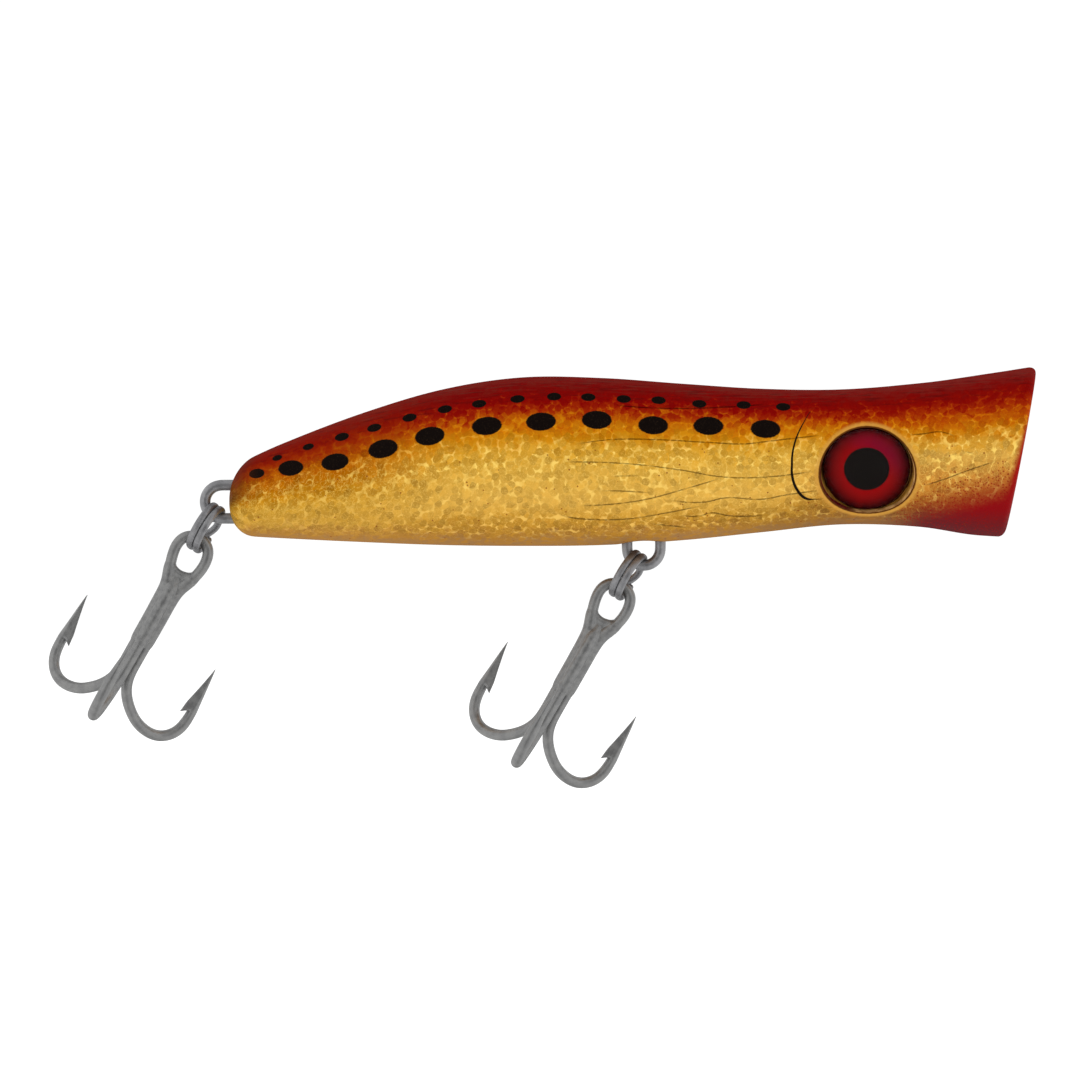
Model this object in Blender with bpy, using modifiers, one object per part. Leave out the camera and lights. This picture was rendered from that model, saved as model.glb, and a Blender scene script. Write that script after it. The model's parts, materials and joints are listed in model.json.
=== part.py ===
"""Topwater popper: a hollow lure body in two glued half shells, with rattle balls, a ballast slug, wire
hangers, split rings, two treble hooks and a pair of lens-covered eyes.

Units are metres and +Z is up. The nose points to +X, and the body's right half is on the -Y side. The
origin is the centre of the line tie's loop, where the fishing line is tied on.
"""
from math import asin, cos, pi, radians, sin, sqrt, tan

import bmesh
import bpy
from mathutils import Matrix, Vector

MM = 0.001

# ---------------------------------------------------------------- driving dimensions
# Side outline and plan width of the body at each station along it:
# x, height of the back, height of the belly, half of the width. All in millimetres.
STATIONS = (
    (-127.6, -2.6, -13.9, 5.6),
    (-119.0, 1.35, -14.4, 7.4),
    (-105.5, 6.5, -15.05, 9.8),
    (-92.0, 10.5, -15.55, 11.5),
    (-78.8, 12.5, -15.7, 12.4),
    (-65.4, 12.4, -15.55, 12.5),
    (-52.0, 11.45, -14.75, 12.0),
    (-38.6, 10.6, -13.4, 11.0),
    (-25.3, 10.5, -12.1, 10.2),
    (-12.0, 11.6, -12.5, 10.7),
    (-2.0, 13.2, -13.8, 12.1),
    (4.6, 14.4, -14.2, 13.0),
)
SECTION_POWER = 2.2                  # 2 is an ellipse; more is squarer
SECTION_POINTS = 15                  # on each half of a section
SECTIONS = 22                        # along the body, in front of its rounded tail end
TAIL_X = STATIONS[0][0] * MM
MOUTH_X = STATIONS[-1][0] * MM
TAIL_ROUND = 4.0 * MM                # how far the rounding of the tail end runs forwards
TAIL_FLAT = 0.4                      # size of the flat on the tail end, as a share of the section there
TAIL_SECTIONS = (0.0, 0.06, 0.2, 0.45, 0.75, 1.15)      # places of the sections there, in tail roundings
MOUTH_ANGLE = radians(10.8)          # the upper lip stands ahead of the lower one
MOUTH_SLANT = tan(MOUTH_ANGLE)
SLANT_FROM = -15.0 * MM              # the slant grows from here to the mouth
WALL = 2.2 * MM
SEAM_GAP = 0.1 * MM                  # glue line between the half shells
FIT_GAP = 0.3 * MM

# The mouth's cup is part of an ellipsoid.
CUP_RADII = (12.0 * MM, 10.9 * MM, 12.2 * MM)
CUP_CENTRE = (5.2 * MM, 0.0, 0.1 * MM)

# Cavities along the body: x from, x to, z from, z to, half of the width, in millimetres. The plastic left
# between them makes the ribs, the rattle slabs and the blocks that hold the wires. OPEN leaves a side to
# the wall.
OPEN = 99.0
CELLS = (
    (-115.0, -108.0, -OPEN, OPEN, OPEN),        # ballast bay, in three cells between two cradle ribs
    (-106.4, -95.6, -OPEN, OPEN, OPEN),
    (-94.0, -86.5, -OPEN, OPEN, OPEN),
    (-81.5, -67.5, 3.6, OPEN, OPEN),            # above and below the rear rattle
    (-81.5, -67.5, -OPEN, -6.4, OPEN),
    (-65.9, -47.1, -4.0, OPEN, OPEN),           # middle, round the belly hanger's block
    (-65.9, -63.9, -OPEN, -3.0, OPEN),
    (-52.9, -47.1, -OPEN, -3.0, OPEN),
    (-45.5, -33.5, 3.6, OPEN, OPEN),            # above and below the front rattle
    (-45.5, -33.5, -OPEN, -6.4, OPEN),
    (-27.0, -18.0, -8.0, 7.0, 2.8),             # head, between the eyes
)

CAVITY_REACH = 0.99                  # share of the inner height that a cavity's top and bottom reach
CAVITY_SECTIONS = 3
CAVITY_STEPS = 12

BALLAST_RADIUS = 4.3 * MM
BALLAST_X = (-112.0 * MM, -90.0 * MM)
BALLAST_Z = -6.6 * MM

RATTLE_RADIUS = 3.5 * MM
RATTLE_BORE = 3.8 * MM
RATTLE_Z = -1.4 * MM
RATTLE_CELLS = {"rear": (-81.5 * MM, -67.5 * MM), "front": (-45.5 * MM, -33.5 * MM)}

PIN_RADIUS = 1.25 * MM
PIN_ROOT = 1.5 * MM
PIN_REACH = 3.0 * MM
PIN_SIDE_GAP = 0.2 * MM
PIN_END_GAP = 0.4 * MM
PIN_PLACES = ((-84.0, 5.5), (-84.0, -10.5), (-30.2, 5.0), (-30.2, -7.0))     # x, z in millimetres

EYE_CENTRE = (-21.2 * MM, -2.84 * MM)           # x, z on the side of the head
EYE_TILT = radians(15.0)                        # the eyes look slightly down
EYE_SEAT = 6.1 * MM                             # distance of the socket's floor from the centre plane
EYE_RADIUS = 7.2 * MM
EYE_DISC = 0.8 * MM
EYE_GAP = 0.1 * MM                              # glue under the disc, and between the disc and the lens
LENS_EDGE = 0.5 * MM
LENS_CROWN = 1.1 * MM
LENS_STEPS = 4
SOCKET_TAPER = tan(radians(13.0))
SOCKET_REACH = 8.0 * MM

# Hanger and line tie: closed wire links, one end moulded into the body and the other standing out.
LINK_WIRE = 0.9 * MM                            # radius of the wire
LINK_BEND = 2.78 * MM                           # radius of the wire's centre line in each end loop
LINK_SEAT_GAP = 0.15 * MM                       # between the wire and the plastic round it
# outer loop's centre (x, z) and inner end's centre (x, z), in millimetres
LINKS = {
    "line_tie": ((0.0, 0.0), (-12.5, 0.0)),
    "belly_hanger": ((-58.4, -16.2), (-58.4, -9.3)),
    "tail_hanger": ((-129.0, -8.3), (-119.6, -8.3)),
}

RING_WIRE = 0.45 * MM                           # half thickness of the split ring's flattened wire
RING_FLATTEN = 1.3                              # its width along the ring's axis, as a share of its thickness
RING_RADIUS = 4.0 * MM                          # radius of the coil's centre line
RING_PITCH = 0.96 * MM                          # between the two layers, before the flattening
RING_TURNS = 1.9
RING_JOG = (0.9, 1.0)                           # turns between which the wire steps to the second layer
RING_START = radians(20.0)                      # place of the wire's first end round the ring
RING_STEPS = 20                                 # in each turn
RING_DROP = 1.1 * MM                            # from the hanger's loop centre to the top of the coil

HOOK_WIRE = 0.93 * MM                           # radius of the hook's wire
HOOK_EYE_BEND = 2.82 * MM                       # radius of the centre line over the top of the hook's eye
HOOK_EYE_SWEEP = radians(110.0)                 # of that bend, on each side of its top
HOOK_EYE_DROP = 2.34 * MM                       # from the split ring's centre to the top of the eye's wire
HOOK_BRAZE_GAP = 0.05 * MM
HOOK_STRAND = 1.07 * MM                         # from the treble's axis to each wire of its shank
HOOK_STRAND_GAP = 0.03 * MM                     # moves each of the two joined wires out, so they stay apart
HOOK_TIP = 18.5 * MM                            # depth of the hook's point below the top of its eye
HOOK_BOTTOM = 33.1 * MM                         # depth of the bend's lowest point
HOOK_THROAT = 9.9 * MM                          # distance of that point from the treble's axis
HOOK_POINT = ((0.0, 0.12), (0.35, 0.6), (0.62, 1.0), (0.8, 1.0))        # share of the way down, thickness
HOOK_POINT_LEAN = 0.1 * MM
HOOK_POINT_BEND = 4.5 * MM                      # radius of the bend under the point
HOOK_SHANK_BEND = 8.0 * MM                      # radius of the bend towards the shank
HOOK_SHANK_SWEEP = radians(40.0)
HOOK_MERGE = 7.1 * MM                           # length over which the wire joins the shank
HOOK_MERGE_CURVE = 2.55
HOOK_MERGE_STEPS = 5
HOOK_NECK = 8.8 * MM                            # depth at which the two wires meet under the eye
HOOK_SINGLE_TOP = 10.0 * MM                     # depth at which the third hook's wire ends
HOOK_SINGLE_END = 0.9                           # thickness of that end
HANG_LEAN = radians(31.0)                       # ring and hook hang towards the tail
RING_TWIST = radians(11.0)                      # turn of the ring about the line it hangs on
HOOK_TILT = radians(7.0)                        # sideways swing of the hook on its ring
HOOK_TWIST = radians(4.0)                       # turn of the hook about its own shank

COLLECTION = "topwater_popper"
CUTTERS = "cutters"


# ---------------------------------------------------------------- scene helpers
def clear_scene():
    """Empty the scene, with the data that its objects used."""
    for item in list(bpy.data.objects):
        bpy.data.objects.remove(item, do_unlink=True)
    for name in (COLLECTION, CUTTERS):
        collection = bpy.data.collections.new(name)
        bpy.context.scene.collection.children.link(collection)


def link(item, collection=COLLECTION):
    bpy.data.collections[collection].objects.link(item)
    return item


def material(name, colour, roughness, metallic=0.0, alpha=1.0):
    """A plain Principled material."""
    made = bpy.data.materials.new(name)
    made.use_nodes = True
    shader = made.node_tree.nodes["Principled BSDF"]
    shader.inputs["Base Color"].default_value = (*colour, 1.0)
    shader.inputs["Roughness"].default_value = roughness
    shader.inputs["Metallic"].default_value = metallic
    shader.inputs["Alpha"].default_value = alpha
    return made


def paint(item, *look):
    item.data.materials.clear()
    item.data.materials.append(material(item.name, *look))
    return item


def pivot(name, place, turn=Matrix.Identity(4), parent=None):
    """An empty on a joint's axis. place and turn are in the parent's own space."""
    empty = link(bpy.data.objects.new(name, None))
    empty.empty_display_size = 3 * MM
    empty.parent = parent
    empty.matrix_local = Matrix.Translation(place) @ turn
    return empty


def mesh_object(name, verts, faces, collection=COLLECTION):
    mesh = bpy.data.meshes.new(name)
    mesh.from_pydata([tuple(v) for v in verts], [], faces)
    tidy = bmesh.new()
    tidy.from_mesh(mesh)
    bmesh.ops.recalc_face_normals(tidy, faces=tidy.faces)
    tidy.to_mesh(mesh)
    tidy.free()
    return link(bpy.data.objects.new(name, mesh), collection)


def smooth(item, angle=35.0):
    item.data.shade_smooth()
    item.data.set_sharp_from_angle(angle=radians(angle))
    return item


def as_cutter(item):
    """Hide a helper from renders and show it as wires."""
    item.hide_render = True
    item.display_type = "WIRE"
    return item


def boolean(item, other, operation="DIFFERENCE"):
    modifier = item.modifiers.new(other.name, "BOOLEAN")
    modifier.operation = operation
    modifier.solver = "EXACT"
    modifier.object = other


# ---------------------------------------------------------------- shapes
def blend_through(stations, column, x):
    """Value of a column at x, on a smooth curve through the stations."""
    xs = [row[0] for row in stations]
    ys = [row[column] for row in stations]
    last = len(xs) - 1

    def slope(i):
        low, high = max(i - 1, 0), min(i + 1, last)
        return (ys[high] - ys[low]) / (xs[high] - xs[low])

    i = max(k for k in range(last) if k == 0 or xs[k] <= x)
    span = xs[i + 1] - xs[i]
    t = (x - xs[i]) / span
    start = ys[i] * (2 * t ** 3 - 3 * t ** 2 + 1) + slope(i) * span * (t ** 3 - 2 * t ** 2 + t)
    end = ys[i + 1] * (3 * t ** 2 - 2 * t ** 3) + slope(i + 1) * span * (t ** 3 - t ** 2)
    return start + end


def body_section(x):
    """Middle height, half height and half width of the body at x, with the tail end rounded."""
    top, bottom, half_width = (blend_through(STATIONS, column, x / MM) * MM for column in (1, 2, 3))
    depth = min((x - TAIL_X) / TAIL_ROUND, 1.0)
    shrink = TAIL_FLAT + (1.0 - TAIL_FLAT) * sqrt(1.0 - (1.0 - depth) ** 2)
    return (top + bottom) / 2, (top - bottom) / 2 * shrink, half_width * shrink


def oval_point(angle, half_width, half_height):
    """A point of a superellipse."""
    across, up = cos(angle), sin(angle)
    power = 2.0 / SECTION_POWER
    y = half_width * abs(across) ** power * (1 if across >= 0 else -1)
    z = half_height * abs(up) ** power * (1 if up >= 0 else -1)
    return y, z


def lean_forward(x, z):
    """x after the slant that the mouth gives to the front of the body."""
    share = max(0.0, min(1.0, (x - SLANT_FROM) / (MOUTH_X - SLANT_FROM)))
    return x + MOUTH_SLANT * share * z


def loft(name, rings, collection=COLLECTION):
    """A closed solid through equal rings of points."""
    count = len(rings[0])
    verts = [point for ring in rings for point in ring]
    faces = [tuple(range(count)), tuple(range(len(verts) - count, len(verts)))]
    for i in range(len(rings) - 1):
        for j in range(count):
            k = (j + 1) % count
            faces.append((i * count + j, i * count + k, (i + 1) * count + k, (i + 1) * count + j))
    return mesh_object(name, verts, faces, collection)


def cylinder(name, radius, start, end, segments=24, top_radius=None, collection=COLLECTION):
    """A solid cylinder or cone from start to end."""
    start, end = Vector(start), Vector(end)
    shape = bmesh.new()
    bmesh.ops.create_cone(
        shape, cap_ends=True, segments=segments, radius1=radius,
        radius2=radius if top_radius is None else top_radius, depth=(end - start).length,
    )
    turn = Vector((0, 0, 1)).rotation_difference(end - start).to_matrix().to_4x4()
    shape.transform(Matrix.Translation((start + end) / 2) @ turn)
    mesh = bpy.data.meshes.new(name)
    shape.to_mesh(mesh)
    shape.free()
    return link(bpy.data.objects.new(name, mesh), collection)


def ball(name, radius, place=Matrix.Identity(4), segments=14, rings=9, collection=COLLECTION):
    shape = bmesh.new()
    bmesh.ops.create_uvsphere(shape, u_segments=segments, v_segments=rings, radius=radius)
    shape.transform(place)
    mesh = bpy.data.meshes.new(name)
    shape.to_mesh(mesh)
    shape.free()
    return link(bpy.data.objects.new(name, mesh), collection)


def turned(name, profile, segments=28):
    """A turned solid: the profile runs from the top centre down its outer side to the bottom centre."""
    mesh = bpy.data.meshes.new(name)
    edges = [(i, i + 1) for i in range(len(profile) - 1)]
    mesh.from_pydata([(r, 0.0, z) for r, z in profile], edges, [])
    item = link(bpy.data.objects.new(name, mesh))
    screw = item.modifiers.new("turn", "SCREW")
    screw.steps = screw.render_steps = segments
    screw.use_merge_vertices = True
    screw.merge_threshold = 0.001 * MM
    screw.use_smooth_shade = True
    return item


def wire(name, points, radius, closed=False, taper=None):
    """A round wire along a path, as a bevelled curve. taper holds a radius factor for each point."""
    data = bpy.data.curves.new(name, "CURVE")
    data.dimensions = "3D"
    data.bevel_depth = radius
    data.bevel_resolution = 2
    data.use_fill_caps = not closed
    spline = data.splines.new("POLY")
    spline.points.add(len(points) - 1)
    spline.use_cyclic_u = closed
    for i, (handle, point) in enumerate(zip(spline.points, points)):
        handle.co = (*point, 1.0)
        handle.radius = taper[i] if taper else 1.0
    return link(bpy.data.objects.new(name, data))


def arc(centre, radius, start, end, steps):
    """Points of an arc in a plane, from the start angle to the end angle."""
    angles = [start + (end - start) * i / steps for i in range(steps + 1)]
    return [(centre[0] + radius * cos(a), centre[1] + radius * sin(a)) for a in angles]


# ---------------------------------------------------------------- body
def half_shell(name, side):
    """One half of the outer body as a solid: side is -1 for the right half and 1 for the left."""
    near_tail = [TAIL_X + TAIL_ROUND * share for share in TAIL_SECTIONS]
    step = (MOUTH_X - near_tail[-1]) / (SECTIONS - 1)
    along = [near_tail[-1] + step * i for i in range(1, SECTIONS)]
    rings = []
    for x in near_tail + along:
        middle, half_height, half_width = body_section(x)
        ring = []
        for i in range(SECTION_POINTS):
            y, z = oval_point(-pi / 2 + pi * i / (SECTION_POINTS - 1), half_width, half_height)
            z += middle
            ring.append((lean_forward(x, z), side * max(y, SEAM_GAP / 2), z))
        rings.append(ring)
    return loft(name, rings)


def cavity(index, cell):
    """A hollow of the body, inside its wall, cut to the cell's own limits."""
    x_from, x_to, z_from, z_to, widest = cell
    rings = []
    for i in range(CAVITY_SECTIONS):
        x = (x_from + (x_to - x_from) * i / (CAVITY_SECTIONS - 1)) * MM
        middle, half_height, half_width = body_section(x)
        inner_height, inner_width = half_height - WALL, half_width - WALL
        low = max(z_from * MM - middle, -CAVITY_REACH * inner_height)
        high = min(z_to * MM - middle, CAVITY_REACH * inner_height)
        right = []
        for step in range(CAVITY_STEPS + 1):
            z = low + (high - low) * (1 - cos(pi * step / CAVITY_STEPS)) / 2
            y = inner_width * (1 - abs(z / inner_height) ** SECTION_POWER) ** (1 / SECTION_POWER)
            right.append((min(y, widest * MM), z + middle))
        outline = right + [(-y, z) for y, z in reversed(right)]
        rings.append([(x, y, z) for y, z in outline])
    return as_cutter(loft(f"cavity_{index}", rings, CUTTERS))


def link_path(outer, inner, bend=LINK_BEND, steps=8):
    """Centre line of a closed wire link in the XZ plane, as a loop round its two ends."""
    outer, inner = Vector(outer) * MM, Vector(inner) * MM
    heading = (outer - inner).to_2d()
    angle = heading.angle_signed(Vector((1, 0))) if heading.length else 0.0
    points = arc(outer, bend, angle - pi / 2, angle + pi / 2, steps)
    points += arc(inner, bend, angle + pi / 2, angle + 3 * pi / 2, steps)
    return [(x, 0.0, z) for x, z in points]


def link_groove(name):
    """Cutter for the seat of a wire link: the same loop in a thicker wire."""
    curve = wire(f"{name}_seat", link_path(*LINKS[name]), LINK_WIRE + LINK_SEAT_GAP, closed=True)
    bpy.context.view_layer.update()
    solid = bpy.data.meshes.new_from_object(curve.evaluated_get(bpy.context.evaluated_depsgraph_get()))
    groove = link(bpy.data.objects.new(f"{name}_groove", solid), CUTTERS)
    groove.matrix_world = curve.matrix_world
    bpy.data.objects.remove(curve, do_unlink=True)
    return as_cutter(groove)


def eye_axes(side):
    """Outward direction of an eye, and the point where it meets the socket's floor."""
    outward = Vector((0.0, side * cos(EYE_TILT), -sin(EYE_TILT)))
    seat = Vector((EYE_CENTRE[0], side * EYE_SEAT, EYE_CENTRE[1]))
    return outward, seat


def eye_socket(side):
    outward, seat = eye_axes(side)
    floor_radius = EYE_RADIUS + FIT_GAP
    name = "eye_socket_left" if side > 0 else "eye_socket_right"
    socket = cylinder(
        name, floor_radius, seat, seat + outward * SOCKET_REACH, segments=32,
        top_radius=floor_radius + SOCKET_REACH * SOCKET_TAPER, collection=CUTTERS,
    )
    return as_cutter(socket)


def mouth_cup():
    """Ellipsoid that hollows the mouth, with its poles along the body."""
    poles_along_x = Matrix.Rotation(pi / 2, 4, "Y")
    place = Matrix.Translation(CUP_CENTRE) @ Matrix.Rotation(MOUTH_ANGLE, 4, "Y")
    stretch = Matrix.Diagonal((*CUP_RADII, 1.0))
    cup = ball("mouth_cup", 1.0, place @ stretch @ poles_along_x, segments=28, rings=18, collection=CUTTERS)
    return as_cutter(cup)


def join_pin(shell, side, index, x, z):
    """A round pin on the left half, or the hole for it in the right half."""
    if side > 0:
        kind, reach, radius, operation = "pin", PIN_REACH, PIN_RADIUS, "UNION"
    else:
        kind, reach, radius, operation = (
            "pin_hole", PIN_REACH + PIN_END_GAP, PIN_RADIUS + PIN_SIDE_GAP, "DIFFERENCE",
        )
    start, end = (x * MM, PIN_ROOT, z * MM), (x * MM, -reach, z * MM)
    pin = cylinder(f"{kind}_{index}", radius, start, end, segments=12, collection=CUTTERS)
    boolean(shell, as_cutter(pin), operation)


def make_body():
    """Both half shells, with every hollow, seat and pin."""
    shared = [cavity(i, cell) for i, cell in enumerate(CELLS)]
    shared.append(mouth_cup())
    shared += [link_groove(name) for name in LINKS]
    start, end = (BALLAST_X[0] - FIT_GAP, 0, BALLAST_Z), (BALLAST_X[1] + FIT_GAP, 0, BALLAST_Z)
    bore = cylinder("ballast_bore", BALLAST_RADIUS + FIT_GAP, start, end, collection=CUTTERS)
    shared.append(as_cutter(bore))
    for place, (x_from, x_to) in RATTLE_CELLS.items():
        start, end = (x_from, 0, RATTLE_Z), (x_to, 0, RATTLE_Z)
        bore = cylinder(f"rattle_bore_{place}", RATTLE_BORE, start, end, collection=CUTTERS)
        shared.append(as_cutter(bore))

    for side, name in ((-1, "body_shell_right"), (1, "body_shell_left")):
        shell = half_shell(name, side)
        for cutter in shared + [eye_socket(side)]:
            boolean(shell, cutter)
        for index, (x, z) in enumerate(PIN_PLACES):
            join_pin(shell, side, index, x, z)
        paint(smooth(shell), (0.75, 0.42, 0.08), 0.25)


# ---------------------------------------------------------------- pieces inside and on the body
def make_inner_pieces():
    start, end = ((x, 0, BALLAST_Z) for x in BALLAST_X)
    slug = cylinder("tail_ballast", BALLAST_RADIUS, start, end)
    paint(smooth(slug), (0.35, 0.35, 0.36), 0.5, 1.0)
    for place, cell in RATTLE_CELLS.items():
        centre = Vector((sum(cell) / 2, 0, RATTLE_Z))
        seat = pivot(f"rattle_slide_{place}", centre)
        rattle = ball(f"rattle_ball_{place}", RATTLE_RADIUS)
        rattle.parent = seat
        paint(smooth(rattle), (0.6, 0.6, 0.62), 0.25, 1.0)


def make_eyes():
    """A printed disc and a domed lens for each eye."""
    dome_radius = (EYE_RADIUS ** 2 + LENS_CROWN ** 2) / (2 * LENS_CROWN)
    rim_angle = asin(EYE_RADIUS / dome_radius)
    dome = []
    for i in range(LENS_STEPS + 1):
        angle = rim_angle * i / LENS_STEPS
        dome.append((dome_radius * sin(angle), LENS_EDGE + LENS_CROWN - dome_radius * (1 - cos(angle))))
    lens_profile = dome + [(EYE_RADIUS, 0.0), (0.0, 0.0)]
    disc_profile = [(0.0, EYE_DISC), (EYE_RADIUS, EYE_DISC), (EYE_RADIUS, 0.0), (0.0, 0.0)]
    for side, word in ((-1, "right"), (1, "left")):
        outward, seat = eye_axes(side)
        turn = Vector((0, 0, 1)).rotation_difference(outward).to_matrix().to_4x4()
        disc = turned(f"eye_disc_{word}", disc_profile)
        disc.matrix_world = Matrix.Translation(seat + outward * EYE_GAP) @ turn
        paint(disc, (0.45, 0.0, 0.01), 0.3)
        lens = turned(f"eye_lens_{word}", lens_profile)
        lens.matrix_world = Matrix.Translation(seat + outward * (2 * EYE_GAP + EYE_DISC)) @ turn
        paint(lens, (0.9, 0.9, 0.9), 0.05, 0.0, 0.3)


def make_links():
    for name, ends in LINKS.items():
        paint(wire(name, link_path(*ends), LINK_WIRE, closed=True), (0.42, 0.42, 0.43), 0.35, 1.0)


# ---------------------------------------------------------------- tackle
def ring_path():
    """Double coil in the YZ plane, centred on the origin, with its axis along X. The wire lies flat in one
    layer, steps over to the second and lies flat again."""
    steps = round(RING_STEPS * RING_TURNS)
    points = []
    for i in range(steps + 1):
        turn = RING_TURNS * i / steps
        angle = 2 * pi * turn + RING_START
        share = max(0.0, min(1.0, (turn - RING_JOG[0]) / (RING_JOG[1] - RING_JOG[0])))
        points.append((RING_PITCH * (share - 0.5), RING_RADIUS * cos(angle), RING_RADIUS * sin(angle)))
    return points


def hook_bend():
    """Centre line of one hook from its point, round the bend and up the shank: (distance from the treble's
    axis, depth below the top of the eye), with the wire's radius factor at each point."""
    limb_foot = HOOK_BOTTOM - HOOK_POINT_BEND
    limb = HOOK_THROAT + HOOK_POINT_BEND
    points = []
    taper = []
    for share, size in HOOK_POINT:
        points.append((limb + HOOK_POINT_LEAN * (1 - share), HOOK_TIP + (limb_foot - HOOK_TIP) * share))
        taper.append(size)
    # The bend is tight under the point and wide towards the shank.
    points += arc((HOOK_THROAT, limb_foot), HOOK_POINT_BEND, 0.0, pi / 2, 5)[:-1]
    wide_centre = (HOOK_THROAT, HOOK_BOTTOM - HOOK_SHANK_BEND)
    points += arc(wide_centre, HOOK_SHANK_BEND, pi / 2, pi / 2 + HOOK_SHANK_SWEEP, 4)
    # Above the bend the wire flattens gradually into the shank.
    leave_r, leave_depth = points[-1]
    for i in range(1, HOOK_MERGE_STEPS + 1):
        share = i / HOOK_MERGE_STEPS
        fall = (1 - share) ** HOOK_MERGE_CURVE
        points.append((HOOK_STRAND + (leave_r - HOOK_STRAND) * fall, leave_depth - HOOK_MERGE * share))
    taper += [1.0] * (len(points) - len(taper))
    return points, taper


def hook_strand(heading):
    """The bend of one hook turned to its heading about the treble's axis, with its shank end last."""
    points, taper = hook_bend()
    x, y = sin(heading), -cos(heading)
    return [(r * x, r * y, -depth) for r, depth in points], taper


def treble_double():
    """Two hooks of one wire, whose middle is the eye. They hang down -Z from the top of the eye."""
    right, taper = hook_strand(radians(120))
    left, _ = hook_strand(radians(-120))
    strand_x = HOOK_STRAND * cos(radians(30)) + HOOK_STRAND_GAP
    strand_y = HOOK_STRAND / 2
    right = right[:-1] + [(strand_x, strand_y, right[-1][2]), (strand_x, strand_y, -HOOK_NECK)]
    left = left[:-1] + [(-strand_x, strand_y, left[-1][2]), (-strand_x, strand_y, -HOOK_NECK)]
    top = pi / 2
    over = arc((0.0, -HOOK_EYE_BEND), HOOK_EYE_BEND, top - HOOK_EYE_SWEEP, top + HOOK_EYE_SWEEP, 10)
    eye = [(x, 0.0, z) for x, z in over]
    points = right + eye + left[::-1]
    sizes = taper + [1.0] * (len(points) - 2 * len(taper)) + taper[::-1]
    return points, sizes


def treble_single():
    """The third hook, brazed on the front of the other two's shank."""
    points, taper = hook_strand(0.0)
    strand_y = -(HOOK_STRAND + HOOK_BRAZE_GAP)
    points = points[:-1] + [(0.0, strand_y, points[-1][2]), (0.0, strand_y, -HOOK_SINGLE_TOP)]
    return points, taper + [HOOK_SINGLE_END]


def make_tackle(place, hanger):
    """A split ring and a treble hook under a hanger, each on the pivot it swings about."""
    loop_centre = LINKS[hanger][0]
    lean = Matrix.Rotation(HANG_LEAN, 4, "Y") @ Matrix.Rotation(-RING_TWIST, 4, "Z")
    swing = pivot(f"{place}_ring_pivot", (loop_centre[0] * MM, 0.0, loop_centre[1] * MM), lean)
    ring_centre = (0.0, 0.0, -(RING_DROP + RING_RADIUS))
    ring = wire(f"{place}_split_ring", ring_path(), RING_WIRE)
    ring.parent = swing
    ring.location = ring_centre
    ring.scale = (RING_FLATTEN, 1.0, 1.0)
    paint(ring, (0.36, 0.36, 0.37), 0.35, 1.0)
    tilt = Matrix.Rotation(HOOK_TILT, 4, "X") @ Matrix.Rotation(RING_TWIST - HOOK_TWIST, 4, "Z")
    sway = pivot(f"{place}_treble_pivot", ring_centre, tilt, swing)
    for kind, (points, sizes) in (("double", treble_double()), ("single", treble_single())):
        hook = wire(f"{place}_treble_{kind}_hook", points, HOOK_WIRE, taper=sizes)
        hook.parent = sway
        hook.location = (0.0, 0.0, -HOOK_EYE_DROP)
        paint(hook, (0.4, 0.4, 0.41), 0.38, 1.0)


def main():
    clear_scene()
    make_body()
    make_inner_pieces()
    make_eyes()
    make_links()
    make_tackle("belly", "belly_hanger")
    make_tackle("tail", "tail_hanger")


main()
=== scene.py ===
"""Looks of the topwater popper: a fine painted skin, glass eyes, wire, split rings and treble hooks, built
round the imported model.

Shapes and paint are laid out in millimetres, with x along the body towards the nose, y towards its left side
and z up. MM turns millimetres into the metres that Blender and the frame use.
"""
import json
from math import asin, atan2, cos, pi, radians, sin, sqrt, tan

import bmesh
import bpy
from mathutils import Matrix, Vector


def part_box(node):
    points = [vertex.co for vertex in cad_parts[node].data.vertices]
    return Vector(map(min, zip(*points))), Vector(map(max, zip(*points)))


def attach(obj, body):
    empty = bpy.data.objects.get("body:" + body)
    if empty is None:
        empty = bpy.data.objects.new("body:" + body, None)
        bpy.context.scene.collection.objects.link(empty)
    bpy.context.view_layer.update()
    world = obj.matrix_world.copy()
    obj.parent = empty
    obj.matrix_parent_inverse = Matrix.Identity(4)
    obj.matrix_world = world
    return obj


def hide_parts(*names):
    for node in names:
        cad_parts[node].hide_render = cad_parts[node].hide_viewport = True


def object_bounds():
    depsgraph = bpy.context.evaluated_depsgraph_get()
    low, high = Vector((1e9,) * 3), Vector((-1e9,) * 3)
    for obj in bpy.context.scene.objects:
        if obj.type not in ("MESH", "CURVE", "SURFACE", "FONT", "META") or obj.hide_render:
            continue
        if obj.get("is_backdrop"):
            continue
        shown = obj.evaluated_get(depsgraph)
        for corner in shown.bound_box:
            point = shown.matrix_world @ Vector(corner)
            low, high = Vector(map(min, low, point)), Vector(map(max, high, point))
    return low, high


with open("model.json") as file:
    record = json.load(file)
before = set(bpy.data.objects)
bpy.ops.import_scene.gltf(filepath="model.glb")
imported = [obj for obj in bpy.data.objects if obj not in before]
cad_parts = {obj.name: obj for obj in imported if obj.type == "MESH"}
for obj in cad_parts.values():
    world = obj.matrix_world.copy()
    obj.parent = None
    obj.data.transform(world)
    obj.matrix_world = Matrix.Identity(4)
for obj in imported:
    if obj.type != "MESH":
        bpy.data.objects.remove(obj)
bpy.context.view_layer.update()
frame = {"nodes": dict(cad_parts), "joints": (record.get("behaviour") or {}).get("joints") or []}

MM = 0.001

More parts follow.
